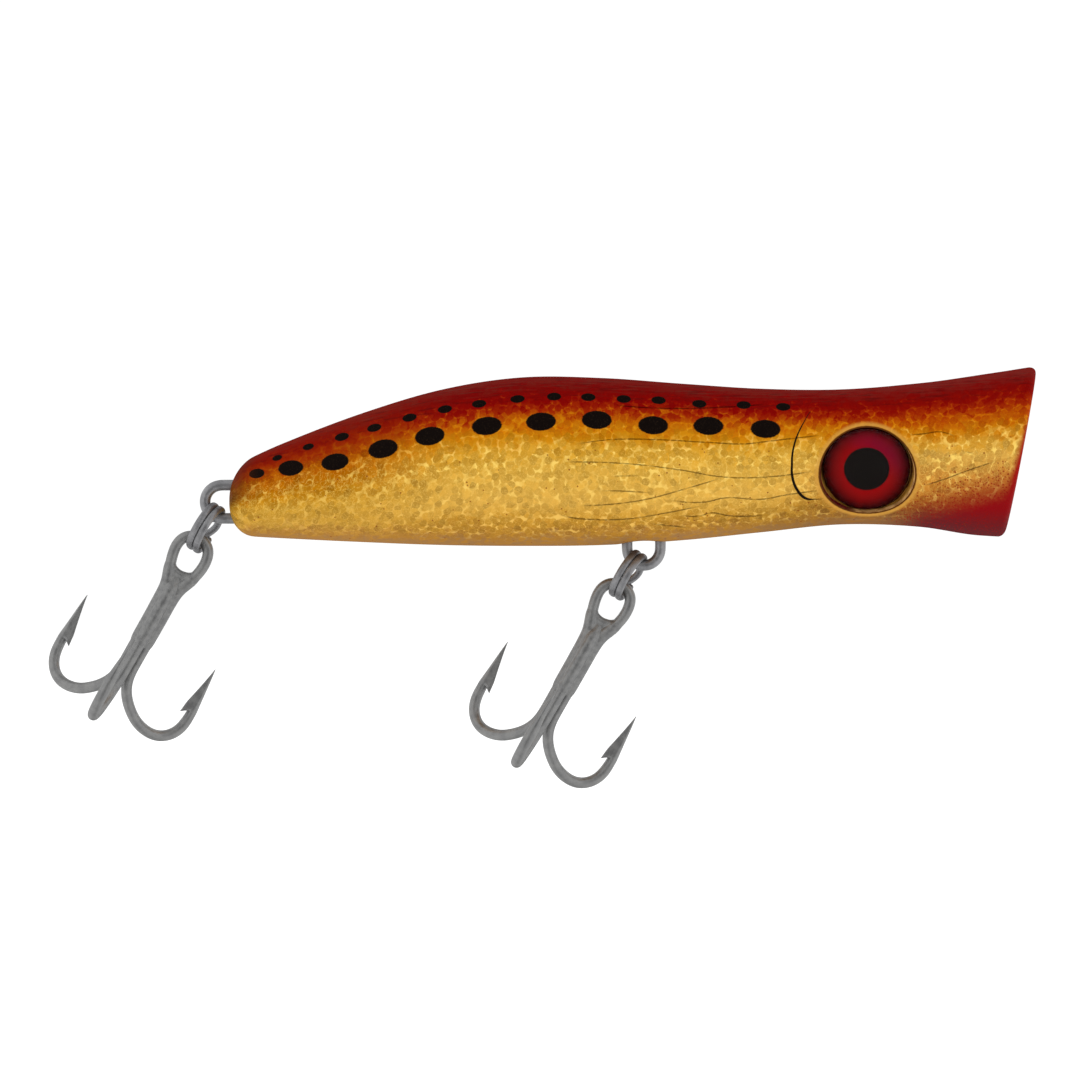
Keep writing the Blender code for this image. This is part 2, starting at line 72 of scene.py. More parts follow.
# ---------------------------------------------------------------- the body's shape, in millimetres
# x, height of the back, height of the belly, half of the width
STATIONS = (
    (-127.6, -2.6, -13.9, 5.6),
    (-119.0, 1.35, -14.4, 7.4),
    (-105.5, 6.5, -15.05, 9.8),
    (-92.0, 10.5, -15.55, 11.5),
    (-78.8, 12.5, -15.7, 12.4),
    (-65.4, 12.4, -15.55, 12.5),
    (-52.0, 11.45, -14.75, 12.0),
    (-38.6, 10.6, -13.4, 11.0),
    (-25.3, 10.5, -12.1, 10.2),
    (-12.0, 11.6, -12.5, 10.7),
    (-2.0, 13.2, -13.8, 12.1),
    (4.6, 14.4, -14.2, 13.0),
)
SECTION_POWER = 2.2
TAIL_X = STATIONS[0][0] - 0.12
MOUTH_X = STATIONS[-1][0]
TAIL_ROUND = 4.4
TAIL_POWER = 2.3
MOUTH_ANGLE = radians(10.8)
MOUTH_SLANT = tan(MOUTH_ANGLE)
SLANT_FROM = -15.0
SEAM = 0.004                        # half of the hairline between the painted halves
LIP_OUTER = 1.3                     # roundings of the mouth's rim
LIP_INNER = 0.5
CUP_DEPTH = 12.0
CUP_WIDTH = 10.9
CUP_HEIGHT = 12.2
CUP_X = 5.2
CUP_Z = 0.1
ALONG = 250                         # rings along the body
ROUND = 60                          # steps round half of each ring
TAIL_STEPS = 16                     # rings round the tail's end
LIP_STEPS = (8, 5)                  # rings over the lip's outer and inner rounding
CUP_STEPS = 26                      # rings down into the cup

EYE_X, EYE_Z = -21.2, -2.6
EYE_TILT = radians(15.0)
EYE_SEAT = 6.1
EYE_RADIUS = 7.2
EYE_DISC = 0.8
EYE_GAP = 0.1
EYE_SHIFT = 0.08                    # the eyes were set a little towards the tail in their sockets
LENS_EDGE = 0.5
LENS_CROWN = 1.1
SOCKET_RADIUS = 7.5
SOCKET_TAPER = tan(radians(8.5))
SOCKET_OVAL = (0.975, 0.94)         # the socket and the eye are a little lower than round
EYE_OVAL = (1.0, 0.965)

RECESS_X = -59.0                    # shallow dish round the belly hanger
RECESS_RADIUS = 4.2
RECESS_DEPTH = 0.45

EYE_REGION = 14.0                   # how far along the body from an eye its socket matters
PAINT_SAG = 0.22                    # how far the paint's edge falls into the socket, and over what distance
PAINT_EDGE = 0.5
HOLLOW_INSET = 1.2                  # how far inside the skin the hollows are looked for
HOLLOW_FROM_TAIL = 5.0
HOLLOW_END = -9.0
HOLLOW_STEPS = 60
SOCKET_REACH = 8.0                  # how far the cutter goes out from the socket's floor
CUP_SHARE = 0.93                    # share of the body's size where the cup's paint starts, and its fade
CUP_FADE = 0.05
CUP_FROM = -8.0

# ---------------------------------------------------------------- wire and hooks, in millimetres
LINK_WIRE = 0.9
LINK_BEND = 2.78
LINK_STEPS = 28
RING_WIRE = 0.45
RING_FLATTEN = 1.3
RING_RADIUS = 4.0
RING_PITCH = 0.96
RING_TURNS = 1.9
RING_CREVICE = 0.01                 # half of the gap between the layers
RING_JOG = (0.84, 1.0)
RING_START = radians(20.0)
RING_STEPS = 220

HOOK_WIRE = 0.93
HOOK_EYE_DROP = 2.34
HOOK_STRAND = 1.07
HOOK_TIP = 18.5
HOOK_BOTTOM = 33.1
HOOK_THROAT = 9.9
HOOK_POINT_BEND = 4.5
HOOK_SHANK_BEND = 8.0
HOOK_SHANK_SWEEP = radians(40.0)
HOOK_MERGE = 7.1
HOOK_MERGE_CURVE = 2.55
HOOK_TILT = radians(7.0)
HOOK_TURN = radians(7.0)
SPEAR_LENGTH = 8.2                  # from the point to the barb
BARB_HEIGHT = 1.05
BARB_LENGTH = 1.3
SHANK_TAPER = 2.6                   # the third wire's top thins out under the solder
BRAZE_FROM = 6.3                    # depths that the braze covers on the treble's shank
BRAZE_TO = 20.2
BRIDGE_WIRE = 0.76
CORE_WIRE = 0.62
BRAZE_VOXEL = 0.13
BRAZE_SMOOTHING = 16
PATH_SPACING = 0.32                 # between the points of a hook's centre line
PATH_PASSES = 9
BRIDGE = ((-2.15, 0.0, -5.7), (-1.45, 0.05, -6.45), (0.0, 0.1, -6.75), (1.6, 0.05, -6.35), (2.4, 0.0, -5.6))


def clamped(share):
    return max(0.0, min(1.0, share))


def smooth_share(value, low, high):
    """A smooth step from 0 at low to 1 at high."""
    share = clamped((value - low) / (high - low))
    return share * share * (3 - 2 * share)


def srgb(red, green, blue):
    """A colour given as 0 to 255 screen values, in linear light."""
    shares = (value / 255 for value in (red, green, blue))
    return tuple(s / 12.92 if s <= 0.04045 else ((s + 0.055) / 1.055) ** 2.4 for s in shares) + (1.0,)


# ---------------------------------------------------------------- nodes
class Signal:
    """An output of a shader node. Arithmetic on it adds math nodes."""

    def __init__(self, tree, output):
        self.tree = tree
        self.output = output

    def math(self, operation, *others, clamp=False):
        node = self.tree.nodes.new("ShaderNodeMath")
        node.operation = operation
        node.use_clamp = clamp
        for index, value in enumerate((self, *others)):
            plug(self.tree, node.inputs[index], value)
        return Signal(self.tree, node.outputs[0])

    def __add__(self, other):
        return self.math("ADD", other)

    def __sub__(self, other):
        return self.math("SUBTRACT", other)

    def __mul__(self, other):
        return self.math("MULTIPLY", other)

    def inverted(self):
        return (self * -1.0) + 1.0

    def sibling(self, name):
        """Another output of the same node."""
        return Signal(self.tree, self.output.node.outputs[name])

    def tuned(self, socket, value):
        """The same output, with one of its node's inputs set."""
        plug(self.tree, self.output.node.inputs[socket], value)
        return self


def plug(tree, socket, value):
    if isinstance(value, Signal):
        tree.links.new(value.output, socket)
    else:
        socket.default_value = value


class Nodes:
    """A node tree of a material or a world, with short calls for adding to it."""

    def __init__(self, owner):
        owner.use_nodes = True
        self.tree = owner.node_tree

    def add(self, kind, inputs=None, output=0, **settings):
        node = self.tree.nodes.new("ShaderNode" + kind)
        for key, value in settings.items():
            setattr(node, key, value)
        for key, value in (inputs or {}).items():
            plug(self.tree, node.inputs[key], value)
        return Signal(self.tree, node.outputs[output])

    def step(self, value, low, high, to_low=0.0, to_high=1.0):
        """A smooth step from to_low to to_high as value goes from low to high."""
        inputs = {"Value": value, "From Min": low, "From Max": high, "To Min": to_low, "To Max": to_high}
        return self.add("MapRange", inputs, interpolation_type="SMOOTHSTEP")

    def surface(self, mixed, output):
        """Send a shader to the tree's output node."""
        self.tree.links.new(mixed.output, self.tree.nodes[output].inputs["Surface"])


class Look(Nodes):
    """A Principled material, with short calls for the nodes that the looks share."""

    def __init__(self, name, fixed):
        self.material = bpy.data.materials.new(name)
        super().__init__(self.material)
        self.shader = self.tree.nodes["Principled BSDF"]
        for socket, value in fixed.items():
            self.drive(socket, value)

    def drive(self, socket, value):
        plug(self.tree, self.shader.inputs[socket], value)

    def mix(self, factor, first, second):
        return self.add("Mix", {0: factor, 6: first, 7: second}, 2, data_type="RGBA")

    def vector(self, operation, *values, output=0):
        return self.add("VectorMath", dict(enumerate(values)), output, operation=operation)

    def scaled(self, vector, *factors):
        return self.vector("MULTIPLY", vector, factors)

    def scaled_colour(self, colour, factor):
        """A colour times a number."""
        return self.vector("SCALE", colour).tuned("Scale", factor)

    def shaded(self, mask, colour, factor):
        """The colour, times a number where the mask is 1."""
        return self.mix(mask, colour, self.scaled_colour(colour, factor))

    def noise(self, vector, scale, detail=2.0, roughness=0.5):
        inputs = {"Vector": vector, "Scale": scale, "Detail": detail, "Roughness": roughness}
        return self.add("TexNoise", inputs)

    def patches(self, vector, scale, detail, low, high, *levels):
        """A smooth step over noise: where it is stronger than low, and fully where stronger than high."""
        return self.step(self.noise(vector, scale, detail), low, high, *levels)

    def cells(self, vector, scale, randomness=1.0):
        return self.add("TexVoronoi", {"Vector": vector, "Scale": scale, "Randomness": randomness})

    def ramp(self, value, stops):
        """A colour ramp through stops of (place, red, green, blue)."""
        out = self.add("ValToRGB", {"Fac": value})
        elements = out.output.node.color_ramp.elements
        while len(elements) < len(stops):
            elements.new(1.0)
        for element, (place, *colour) in zip(elements, stops):
            element.position = place
            element.color = srgb(*colour)
        return out

    def curve(self, value, points):
        """A smooth curve through points whose coordinates are all between 0 and 1."""
        out = self.add("FloatCurve", {"Value": value})
        mapping = out.output.node.mapping
        curve = mapping.curves[0]
        while len(curve.points) < len(points):
            curve.points.new(0.5, 0.5)
        for handle, place in zip(curve.points, points):
            handle.location = place
        mapping.update()
        return out

    def bump(self, height, strength, distance):
        return self.add("Bump", {"Height": height, "Strength": strength, "Distance": distance})

    def place(self):
        """The surface point in millimetres, in the piece's own space."""
        point = self.add("TexCoord").sibling("Object")
        return self.vector("SCALE", point).tuned("Scale", 1 / MM)


# ---------------------------------------------------------------- mesh helpers
def new_object(name, data):
    made = bpy.data.objects.new(name, data)
    bpy.context.scene.collection.objects.link(made)
    return made


def new_piece(name, verts, faces, materials, place=Matrix.Identity(4)):
    """A mesh object from points in millimetres."""
    mesh = bpy.data.meshes.new(name)
    mesh.from_pydata([Vector(v) * MM for v in verts], [], faces)
    for material in materials:
        mesh.materials.append(material)
    tidy = bmesh.new()
    tidy.from_mesh(mesh)
    bmesh.ops.recalc_face_normals(tidy, faces=tidy.faces)
    tidy.to_mesh(mesh)
    tidy.free()
    mesh.shade_smooth()
    piece = new_object(name, mesh)
    piece.matrix_world = place
    return piece


def finish_piece(piece, body, slot, *nodes):
    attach(piece, body)
    if nodes:
        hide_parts(*nodes)
    return piece


def skin_faces(rings, count, closed):
    """Quads between neighbouring rings of count points."""
    faces = []
    around = count if closed else count - 1
    for i in range(rings - 1):
        for j in range(around):
            k = (j + 1) % count
            faces.append((i * count + j, i * count + k, (i + 1) * count + k, (i + 1) * count + j))
    return faces


def apply_modifiers(piece):
    graph = bpy.context.evaluated_depsgraph_get()
    piece.data = bpy.data.meshes.new_from_object(piece.evaluated_get(graph), depsgraph=graph)
    piece.modifiers.clear()


def cut(piece, cutter):
    """Cut piece by cutter at once, and remove the cutter."""
    modifier = piece.modifiers.new("cut", "BOOLEAN")
    modifier.operation = "DIFFERENCE"
    modifier.solver = "EXACT"
    modifier.object = cutter
    bpy.context.view_layer.update()
    apply_modifiers(piece)
    bpy.data.objects.remove(cutter, do_unlink=True)


def turned(name, profile, materials, place=Matrix.Identity(4), segments=96):
    """A turned piece about Z: the profile of (radius, height) starts and ends on the axis."""
    verts = [(0.0, 0.0, profile[0][1]), (0.0, 0.0, profile[-1][1])]
    for radius, height in profile[1:-1]:
        for i in range(segments):
            angle = 2 * pi * i / segments
            verts.append((radius * cos(angle), radius * sin(angle), height))
    rings = len(profile) - 2
    faces = [tuple(v + 2 for v in face) for face in skin_faces(rings, segments, True)]
    last = 2 + (rings - 1) * segments
    for i in range(segments):
        k = (i + 1) % segments
        faces.append((0, 2 + i, 2 + k))
        faces.append((1, last + k, last + i))
    return new_piece(name, verts, faces, materials, place)


def arc(centre, radius, start, end, steps):
    angles = [start + (end - start) * i / steps for i in range(steps + 1)]
    return [(centre[0] + radius * cos(a), centre[1] + radius * sin(a)) for a in angles]


def lengths_along(path):
    """How far along a path each of its points is."""
    lengths = [0.0]
    for a, b in zip(path, path[1:]):
        lengths.append(lengths[-1] + (b - a).length)
    return lengths


def relaxed(points, spacing, passes, closed=False):
    """The same path with even points, its corners eased."""
    path = [Vector(p) for p in points]
    if closed:
        path.append(path[0].copy())
    lengths = lengths_along(path)
    count = max(3, round(lengths[-1] / spacing))
    even = []
    k = 0
    for i in range(count + 1):
        want = lengths[-1] * i / count
        while k < len(path) - 2 and lengths[k + 1] < want:
            k += 1
        span = lengths[k + 1] - lengths[k]
        even.append(path[k].lerp(path[k + 1], (want - lengths[k]) / span if span else 0.0))
    if closed:
        even.pop()
    for _ in range(passes):
        eased = [p.copy() for p in even]
        for i in range(len(even)):
            if closed or 0 < i < len(even) - 1:
                before, after = even[i - 1], even[(i + 1) % len(even)]
                eased[i] = (before + after) / 4 + even[i] / 2
        even = eased
    return even


def carried_normals(path, first, last=None, closed=False):
    """A normal at each point of a path, carried along it without twist from the first one. Where last is
    given, a steady twist brings the normal there."""
    count = len(path)
    tangents = []
    for i in range(count):
        before = path[i - 1] if closed or i else path[i]
        after = path[(i + 1) % count] if closed or i < count - 1 else path[i]
        tangents.append((after - before).normalized())
    normal = (first - tangents[0] * first.dot(tangents[0])).normalized()
    normals = [normal]
    for before, tangent in zip(tangents, tangents[1:]):
        normal = before.rotation_difference(tangent) @ normals[-1]
        normals.append((normal - tangent * normal.dot(tangent)).normalized())
    if last is not None:
        tangent = tangents[-1]
        aim = (last - tangent * last.dot(tangent)).normalized()
        turn = atan2(normals[-1].cross(aim).dot(tangent), normals[-1].dot(aim))
        for i in range(count):
            normals[i] = Matrix.Rotation(turn * i / (count - 1), 3, tangents[i]) @ normals[i]
    return tangents, normals


def rounded(x, y, power):
    """How far a point of the unit circle moves out to reach a superellipse of that power."""
    return 1 / (abs(x) ** power + abs(y) ** power) ** (1 / power)


def round_section(radius, sides=20):
    return [(radius * cos(2 * pi * j / sides), radius * sin(2 * pi * j / sides)) for j in range(sides)]


def swept(name, path, tangents, normals, sections, materials, closed=False, place=Matrix.Identity(4)):
    """A solid along a path. A section's points are (along the normal, across it[, along the path])."""
    verts = []
    for point, tangent, normal, section in zip(path, tangents, normals, sections):
        across = tangent.cross(normal)
        for place_2d in section:
            shift = place_2d[2] if len(place_2d) > 2 else 0.0
            verts.append(point + normal * place_2d[0] + across * place_2d[1] + tangent * shift)
    count = len(sections[0])
    faces = skin_faces(len(path), count, True)
    if closed:
        last = (len(path) - 1) * count
        faces += [(last + j, last + (j + 1) % count, (j + 1) % count, j) for j in range(count)]
    else:
        faces.append(tuple(range(count)))
        faces.append(tuple(range(len(verts) - count, len(verts))))
    return new_piece(name, verts, faces, materials, place)


# ---------------------------------------------------------------- the body's surface
def blend_through(column, x):
    """Value of a column of STATIONS at x, on a smooth curve through them."""
    xs = [row[0] for row in STATIONS]
    ys = [row[column] for row in STATIONS]
    last = len(xs) - 1
    i = max(k for k in range(last) if k == 0 or xs[k] <= x)

    def slope(k):
        low, high = max(k - 1, 0), min(k + 1, last)
        return (ys[high] - ys[low]) / (xs[high] - xs[low])

    span = xs[i + 1] - xs[i]
    t = (x - xs[i]) / span
    start = ys[i] * (2 * t ** 3 - 3 * t ** 2 + 1) + slope(i) * span * (t ** 3 - 2 * t ** 2 + t)
    return start + ys[i + 1] * (3 * t ** 2 - 2 * t ** 3) + slope(i + 1) * span * (t ** 3 - t ** 2)


def body_size(x):
    """Middle height, half height and half width at x, before the tail is rounded."""
    top, bottom, half_width = (blend_through(column, x) for column in (1, 2, 3))
    return (top + bottom) / 2, (top - bottom) / 2, half_width


def lean_forward(x, z):
    share = clamped((x - SLANT_FROM) / (MOUTH_X - SLANT_FROM))
    return x + MOUTH_SLANT * share * z


def lean_back(x, z):
    """The x that lean_forward took to this one."""
    if x <= SLANT_FROM:
        return x
    rate = MOUTH_SLANT * z / (MOUTH_X - SLANT_FROM)
    return (x + rate * SLANT_FROM) / (1 + rate)


def eye_frame(side):
    """Outward direction of an eye, and the middle of its socket's floor."""
    outward = Vector((0.0, side * cos(EYE_TILT), -sin(EYE_TILT)))
    return outward, Vector((EYE_X, side * EYE_SEAT, EYE_Z))


def facing_out(outward):
    """The turn that brings +Z to that direction."""
    return Vector((0, 0, 1)).rotation_difference(outward).to_matrix().to_4x4()


def past_socket(point, side):
    """Distance of a point outside the edge of the eye's socket."""
    outward, seat = eye_frame(side)
    offset = point - seat
    height = offset.dot(outward)
    flat = offset - outward * height
    along, across = flat.x / SOCKET_OVAL[0], flat.yz.length / SOCKET_OVAL[1]
    return sqrt(along ** 2 + across ** 2) - SOCKET_RADIUS - height * SOCKET_TAPER


def half_section(middle, half_height, half_width, power):
    """Points from the belly to the back round one side: (y, z)."""
    points = []
    for j in range(ROUND + 1):
        angle = -pi / 2 + pi * j / ROUND
        across, up = cos(angle), sin(angle)
        y = half_width * abs(across) ** (2 / power)
        z = half_height * abs(up) ** (2 / power) * (1 if up >= 0 else -1)
        points.append((max(y, SEAM), middle + z))
    return points


def body_rings():
    """(x, section) all the way from the tail's end over the lip and down to the bottom of the cup."""
    rings = []
    for i in range(1, TAIL_STEPS):
        angle = pi / 2 * i / TAIL_STEPS
        x = TAIL_X + TAIL_ROUND * (1 - cos(angle) ** (2 / TAIL_POWER))
        shrink = sin(angle) ** (2 / TAIL_POWER)
        middle, half_height, half_width = body_size(x)
        rings.append((x, half_section(middle, half_height * shrink, half_width * shrink, SECTION_POWER)))
    start, end = TAIL_X + TAIL_ROUND, MOUTH_X - LIP_OUTER
    for i in range(ALONG):
        x = start + (end - start) * i / ALONG
        rings.append((x, half_section(*body_size(x), SECTION_POWER)))
    # Over the lip: a rounding, the rim's flat and a smaller rounding into the cup.
    cup_start = asin((CUP_X - MOUTH_X + LIP_INNER) / CUP_DEPTH)
    rim = STATIONS[-1][3] - CUP_WIDTH * cos(cup_start)
    outer, inner = (
        arc((0, 0), radius, 0.0, pi / 2, steps) for radius, steps in zip((LIP_OUTER, LIP_INNER), LIP_STEPS)
    )
    lip = [(MOUTH_X - LIP_OUTER + dx, LIP_OUTER - dz) for dz, dx in outer]
    lip += [(MOUTH_X - LIP_INNER + dx, rim - LIP_INNER + dz) for dx, dz in inner]
    for x, inset in lip:
        middle, half_height, half_width = body_size(x)
        power = SECTION_POWER + (2.0 - SECTION_POWER) * inset / rim
        rings.append((x, half_section(middle, half_height - inset, half_width - inset, power)))
    for i in range(1, CUP_STEPS):
        angle = cup_start + (pi / 2 - cup_start) * i / CUP_STEPS
        section = half_section(CUP_Z, CUP_HEIGHT * cos(angle), CUP_WIDTH * cos(angle), 2.0)
        rings.append((CUP_X - CUP_DEPTH * sin(angle), section))
    return rings


def settled(x, y, z, side):
    """A point of the skin after the paint's soft edge round the eye, and the dish round the belly hanger."""
    point = Vector((lean_forward(x, z), side * y, z))
    edge = past_socket(point, side)
    if abs(x - EYE_X) < EYE_REGION and edge < 2.0:
        outward, _ = eye_frame(side)
        point -= outward * PAINT_SAG * min(1.0, 2.718 ** -(max(edge, 0.0) / PAINT_EDGE) ** 2)
    away = sqrt((x - RECESS_X) ** 2 + y ** 2) / RECESS_RADIUS
    if z < -8.0 and away < 1.0:
        point.z += RECESS_DEPTH * (1 - away ** 2) ** 2
    return point


def fine_half(name, side, materials):
    rings = body_rings()
    count = ROUND + 1
    verts = [settled(x, y, z, side) for x, section in rings for y, z in section]
    faces = skin_faces(len(rings), count, False)
    last = len(verts) - count
    faces.append(tuple(range(count)))
    faces.append(tuple(range(last, len(verts))))
    # The flat side at the seam, as one face through both edges of the skin.
    belly = [i * count for i in range(len(rings))]
    back = [i * count + count - 1 for i in range(len(rings))]
    faces.append(tuple(belly + back[::-1]))
    return new_piece(name, verts, faces, materials)


def socket_cutter(side, material):
    """The eye's seat: a disc-shaped floor with a wall that opens outwards."""
    outward, seat = eye_frame(side)
    turn = facing_out(outward)
    floor_ease = 0.02
    wide = SOCKET_RADIUS + SOCKET_REACH * SOCKET_TAPER
    profile = [(0.0, SOCKET_REACH), (wide, SOCKET_REACH), (SOCKET_RADIUS, -floor_ease), (0.0, -floor_ease)]
    oval = Matrix.Diagonal((*SOCKET_OVAL, 1.0, 1.0))
    return turned("socket_cutter", profile, [material], Matrix.Translation(seat * MM) @ turn @ oval)


def cad_hollows(node):
    """The hollows inside a CAD half shell, as a solid: what a slightly smaller body holds that it doesn't."""
    start = TAIL_X + HOLLOW_FROM_TAIL
    verts = []
    for i in range(HOLLOW_STEPS + 1):
        x = start + (HOLLOW_END - start) * i / HOLLOW_STEPS
        middle, half_height, half_width = body_size(x)
        side = half_section(middle, half_height - HOLLOW_INSET, half_width - HOLLOW_INSET, SECTION_POWER)
        outline = [(y, z) for y, z in side[::3]] + [(-y, z) for y, z in reversed(side[::3])]
        verts += [(x, y, z) for y, z in outline]
    count = len(verts) // (HOLLOW_STEPS + 1)
    faces = skin_faces(HOLLOW_STEPS + 1, count, True)
    faces += [tuple(range(count)), tuple(range(len(verts) - count, len(verts)))]
    probe = new_piece("hollows", verts, faces, [])
    shell = new_object("shell", frame["nodes"][node].data.copy())
    welded = bmesh.new()
    welded.from_mesh(shell.data)
    bmesh.ops.remove_doubles(welded, verts=welded.verts, dist=0.001 * MM)
    welded.to_mesh(shell.data)
    welded.free()
    cut(probe, shell)
    return probe


def record_layout(skin, side):
    """Store for each point where it is on the body, for the paint: (distance along it, height share from the
    back, distance round it), how far past the eye socket's edge, and how far into the mouth's cup."""
    mesh = skin.data
    mesh.attributes.new("layout", "FLOAT_VECTOR", "POINT")
    for name in ("eye_edge", "in_cup"):
        mesh.attributes.new(name, "FLOAT", "POINT")
    layout, eye_edge, in_cup = (mesh.attributes[name] for name in ("layout", "eye_edge", "in_cup"))
    for i, vertex in enumerate(mesh.vertices):
        point = vertex.co / MM
        x = lean_back(point.x, point.z)
        middle, half_height, half_width = body_size(max(TAIL_X, min(MOUTH_X, x)))
        up = (point.z - middle) / half_height
        out = abs(point.y) / half_width
        share = clamped((1 - up) / 2)
        girth = atan2(up, out) * (half_height + half_width) / 2 * side
        layout.data[i].vector = (x, share, girth)
        eye_edge.data[i].value = past_socket(point, side) if abs(x - EYE_X) < EYE_REGION else 20.0
        reach = sqrt(up ** 2 + out ** 2)
        depth = (CUP_SHARE - reach) / CUP_FADE if x > CUP_FROM else 0.0
        in_cup.data[i].value = clamped(depth)


def make_skin(side, word, looks):
    skin = fine_half(f"painted_half_{word}", side, [looks["paint"], looks["socket"]])
    cut(skin, cad_hollows(f"body_shell_{word}"))
    cut(skin, socket_cutter(side, looks["socket"]))
    record_layout(skin, side)
    skin.data.shade_smooth()
    skin.data.set_sharp_from_angle(angle=radians(38.0))
    finish_piece(skin, "lure_body", "body_paint", f"body_shell_{word}")


# ---------------------------------------------------------------- paint
# Dark spots, as (x, z) of their middles in millimetres.
LARGE_SPOTS = (
    (-123.0, -3.6), (-117.3, -2.7), (-109.9, -1.7), (-101.9, 0.5), (-94.1, 2.6), (-84.6, 4.3),
    (-75.6, 5.0), (-66.3, 5.3), (-56.9, 4.4), (-47.7, 4.3), (-38.2, 3.8),
)
SMALL_SPOTS = (
    (-119.6, -1.0), (-114.4, 0.85), (-108.8, 2.5), (-103.4, 4.0), (-97.5, 5.7), (-91.6, 7.1),
    (-85.9, 8.0), (-79.5, 8.8), (-73.4, 9.2), (-67.7, 9.1), (-61.8, 8.8), (-56.0, 8.6),
    (-49.2, 8.0), (-41.8, 7.8), (-35.2, 7.5),
)
LARGE_SIZE = (5.0, 3.05)            # length and height of a full-grown spot
SMALL_SIZE = (2.4, 1.3)
TAIL_SIZES = {"large": (0.52, 0.84, 0.92), "small": (0.7, 0.8)}     # sizes of the spots nearest the tail

# The gill's stroke: x, z and half of its thickness.
GILL = (
    (-30.7, 6.7, 0.03), (-32.6, 3.4, 0.1), (-33.8, -1.7, 0.17), (-33.8, -3.7, 0.2),
    (-33.0, -6.2, 0.22), (-31.6, -7.7, 0.2), (-29.9, -7.9, 0.06), (-28.6, -7.8, 0.01), (-27.0, -7.0, 0.0),
)

GILL_CENTRE = (-27.0, -1.0)
GILL_REACH = 10.0

# Fine dark veins: the points of each, in x and z.
VEINS = (
    ((-69.9, 1.2), (-63.9, 2.0), (-56.5, 2.0), (-47.0, 1.5), (-41.8, 1.3), (-37.3, 1.8), (-28.4, 2.8)),
    ((-71.9, -1.7), (-61.4, -2.0), (-52.7, -3.0), (-45.3, -4.2), (-39.6, -4.3), (-29.9, -3.2)),
    ((-69.4, -9.0), (-62.4, -8.6), (-57.9, -7.9), (-53.3, -6.7), (-49.2, -5.5), (-45.3, -4.3)),
    ((-64.4, -4.1), (-58.5, -4.0)),
    ((-66.1, -6.5), (-61.0, -6.6), (-56.9, -6.9)),
    ((-73.2, -10.2), (-70.9, -10.9), (-66.7, -11.3), (-61.4, -11.2), (-56.5, -10.5), (-48.3, -8.9)),
    ((-54.7, -8.0), (-48.5, -8.4), (-45.0, -7.7), (-38.6, -7.9), (-34.8, -7.2), (-28.8, -6.4)),
    ((-53.0, -10.5), (-49.2, -10.7), (-47.3, -10.2), (-43.8, -10.7), (-37.6, -10.5)),
    ((-57.9, -11.9), (-53.3, -12.4), (-50.2, -12.7)),
    ((-63.9, 7.9), (-60.4, 7.5), (-53.3, 7.2), (-45.7, 7.4), (-37.3, 8.0)),
    ((-15.2, 2.7), (-11.7, 3.0), (-9.2, 3.3), (-5.7, 2.1)),
    ((-6.0, 0.3), (-3.0, -0.5)),
    ((-12.7, -5.9), (-8.2, -4.5), (-5.0, -3.3), (-1.8, -2.2), (1.0, -1.3)),
)
VEIN_LOW, VEIN_HIGH = -16.0, 16.0   # heights that the veins' curves span

# Colours from the back (0) to the belly (1).
# The greyish tints at the very back and at the belly's edge are painted reflection; the rest is the paint's
# own colour.
MIDDLE_COLOURS = (
    (0.0, 112, 22, 14), (0.08, 114, 3, 2), (0.15, 128, 4, 1), (0.2, 150, 36, 2),
    (0.27, 182, 94, 3), (0.35, 198, 130, 14), (0.43, 212, 156, 44),
    (0.55, 217, 167, 64), (0.75, 215, 166, 70), (0.86, 190, 138, 44),
    (0.94, 166, 116, 44), (1.0, 150, 110, 64),
)
TAIL_COLOURS = (
    (0.0, 118, 24, 8), (0.1, 122, 12, 1), (0.2, 142, 36, 1), (0.3, 152, 64, 1),
    (0.38, 176, 96, 2), (0.5, 180, 112, 6), (0.6, 188, 130, 24),
    (0.7, 198, 148, 48), (0.85, 196, 148, 56), (0.94, 170, 120, 50), (1.0, 156, 114, 64),
)
HEAD_COLOURS = (
    (0.0, 116, 24, 18), (0.1, 118, 4, 2), (0.17, 130, 8, 1), (0.22, 152, 38, 1),
    (0.29, 176, 80, 2), (0.36, 196, 120, 10), (0.43, 210, 152, 46),
    (0.52, 208, 158, 68), (0.64, 198, 136, 54), (0.74, 192, 128, 46),
    (0.84, 182, 120, 40), (0.92, 158, 104, 46), (1.0, 142, 100, 60),
)


def spots_field(look, point):
    """1 inside a spot's edge and more outside: the nearest spot's measure."""
    nearest = None
    rows = (("large", LARGE_SPOTS, LARGE_SIZE), ("small", SMALL_SPOTS, SMALL_SIZE))
    for row, spots, (length, height) in rows:
        for i, (x, z) in enumerate(spots):
            before, after = spots[max(i - 1, 0)], spots[min(i + 1, len(spots) - 1)]
            tilt = 0.85 * atan2(after[1] - before[1], after[0] - before[0])
            sizes = TAIL_SIZES[row]
            size = sizes[i] if i < len(sizes) else 1.0
            stretch = (length / 2 * size, 1000.0, height / 2 * size)
            settings = {"Vector": point, "Location": (x, 0, z), "Rotation": (0, -tilt, 0), "Scale": stretch}
            local = look.add("Mapping", settings, vector_type="TEXTURE")
            reach = look.vector("LENGTH", local, output=1)
            nearest = reach if nearest is None else nearest.math("MINIMUM", reach)
    return nearest


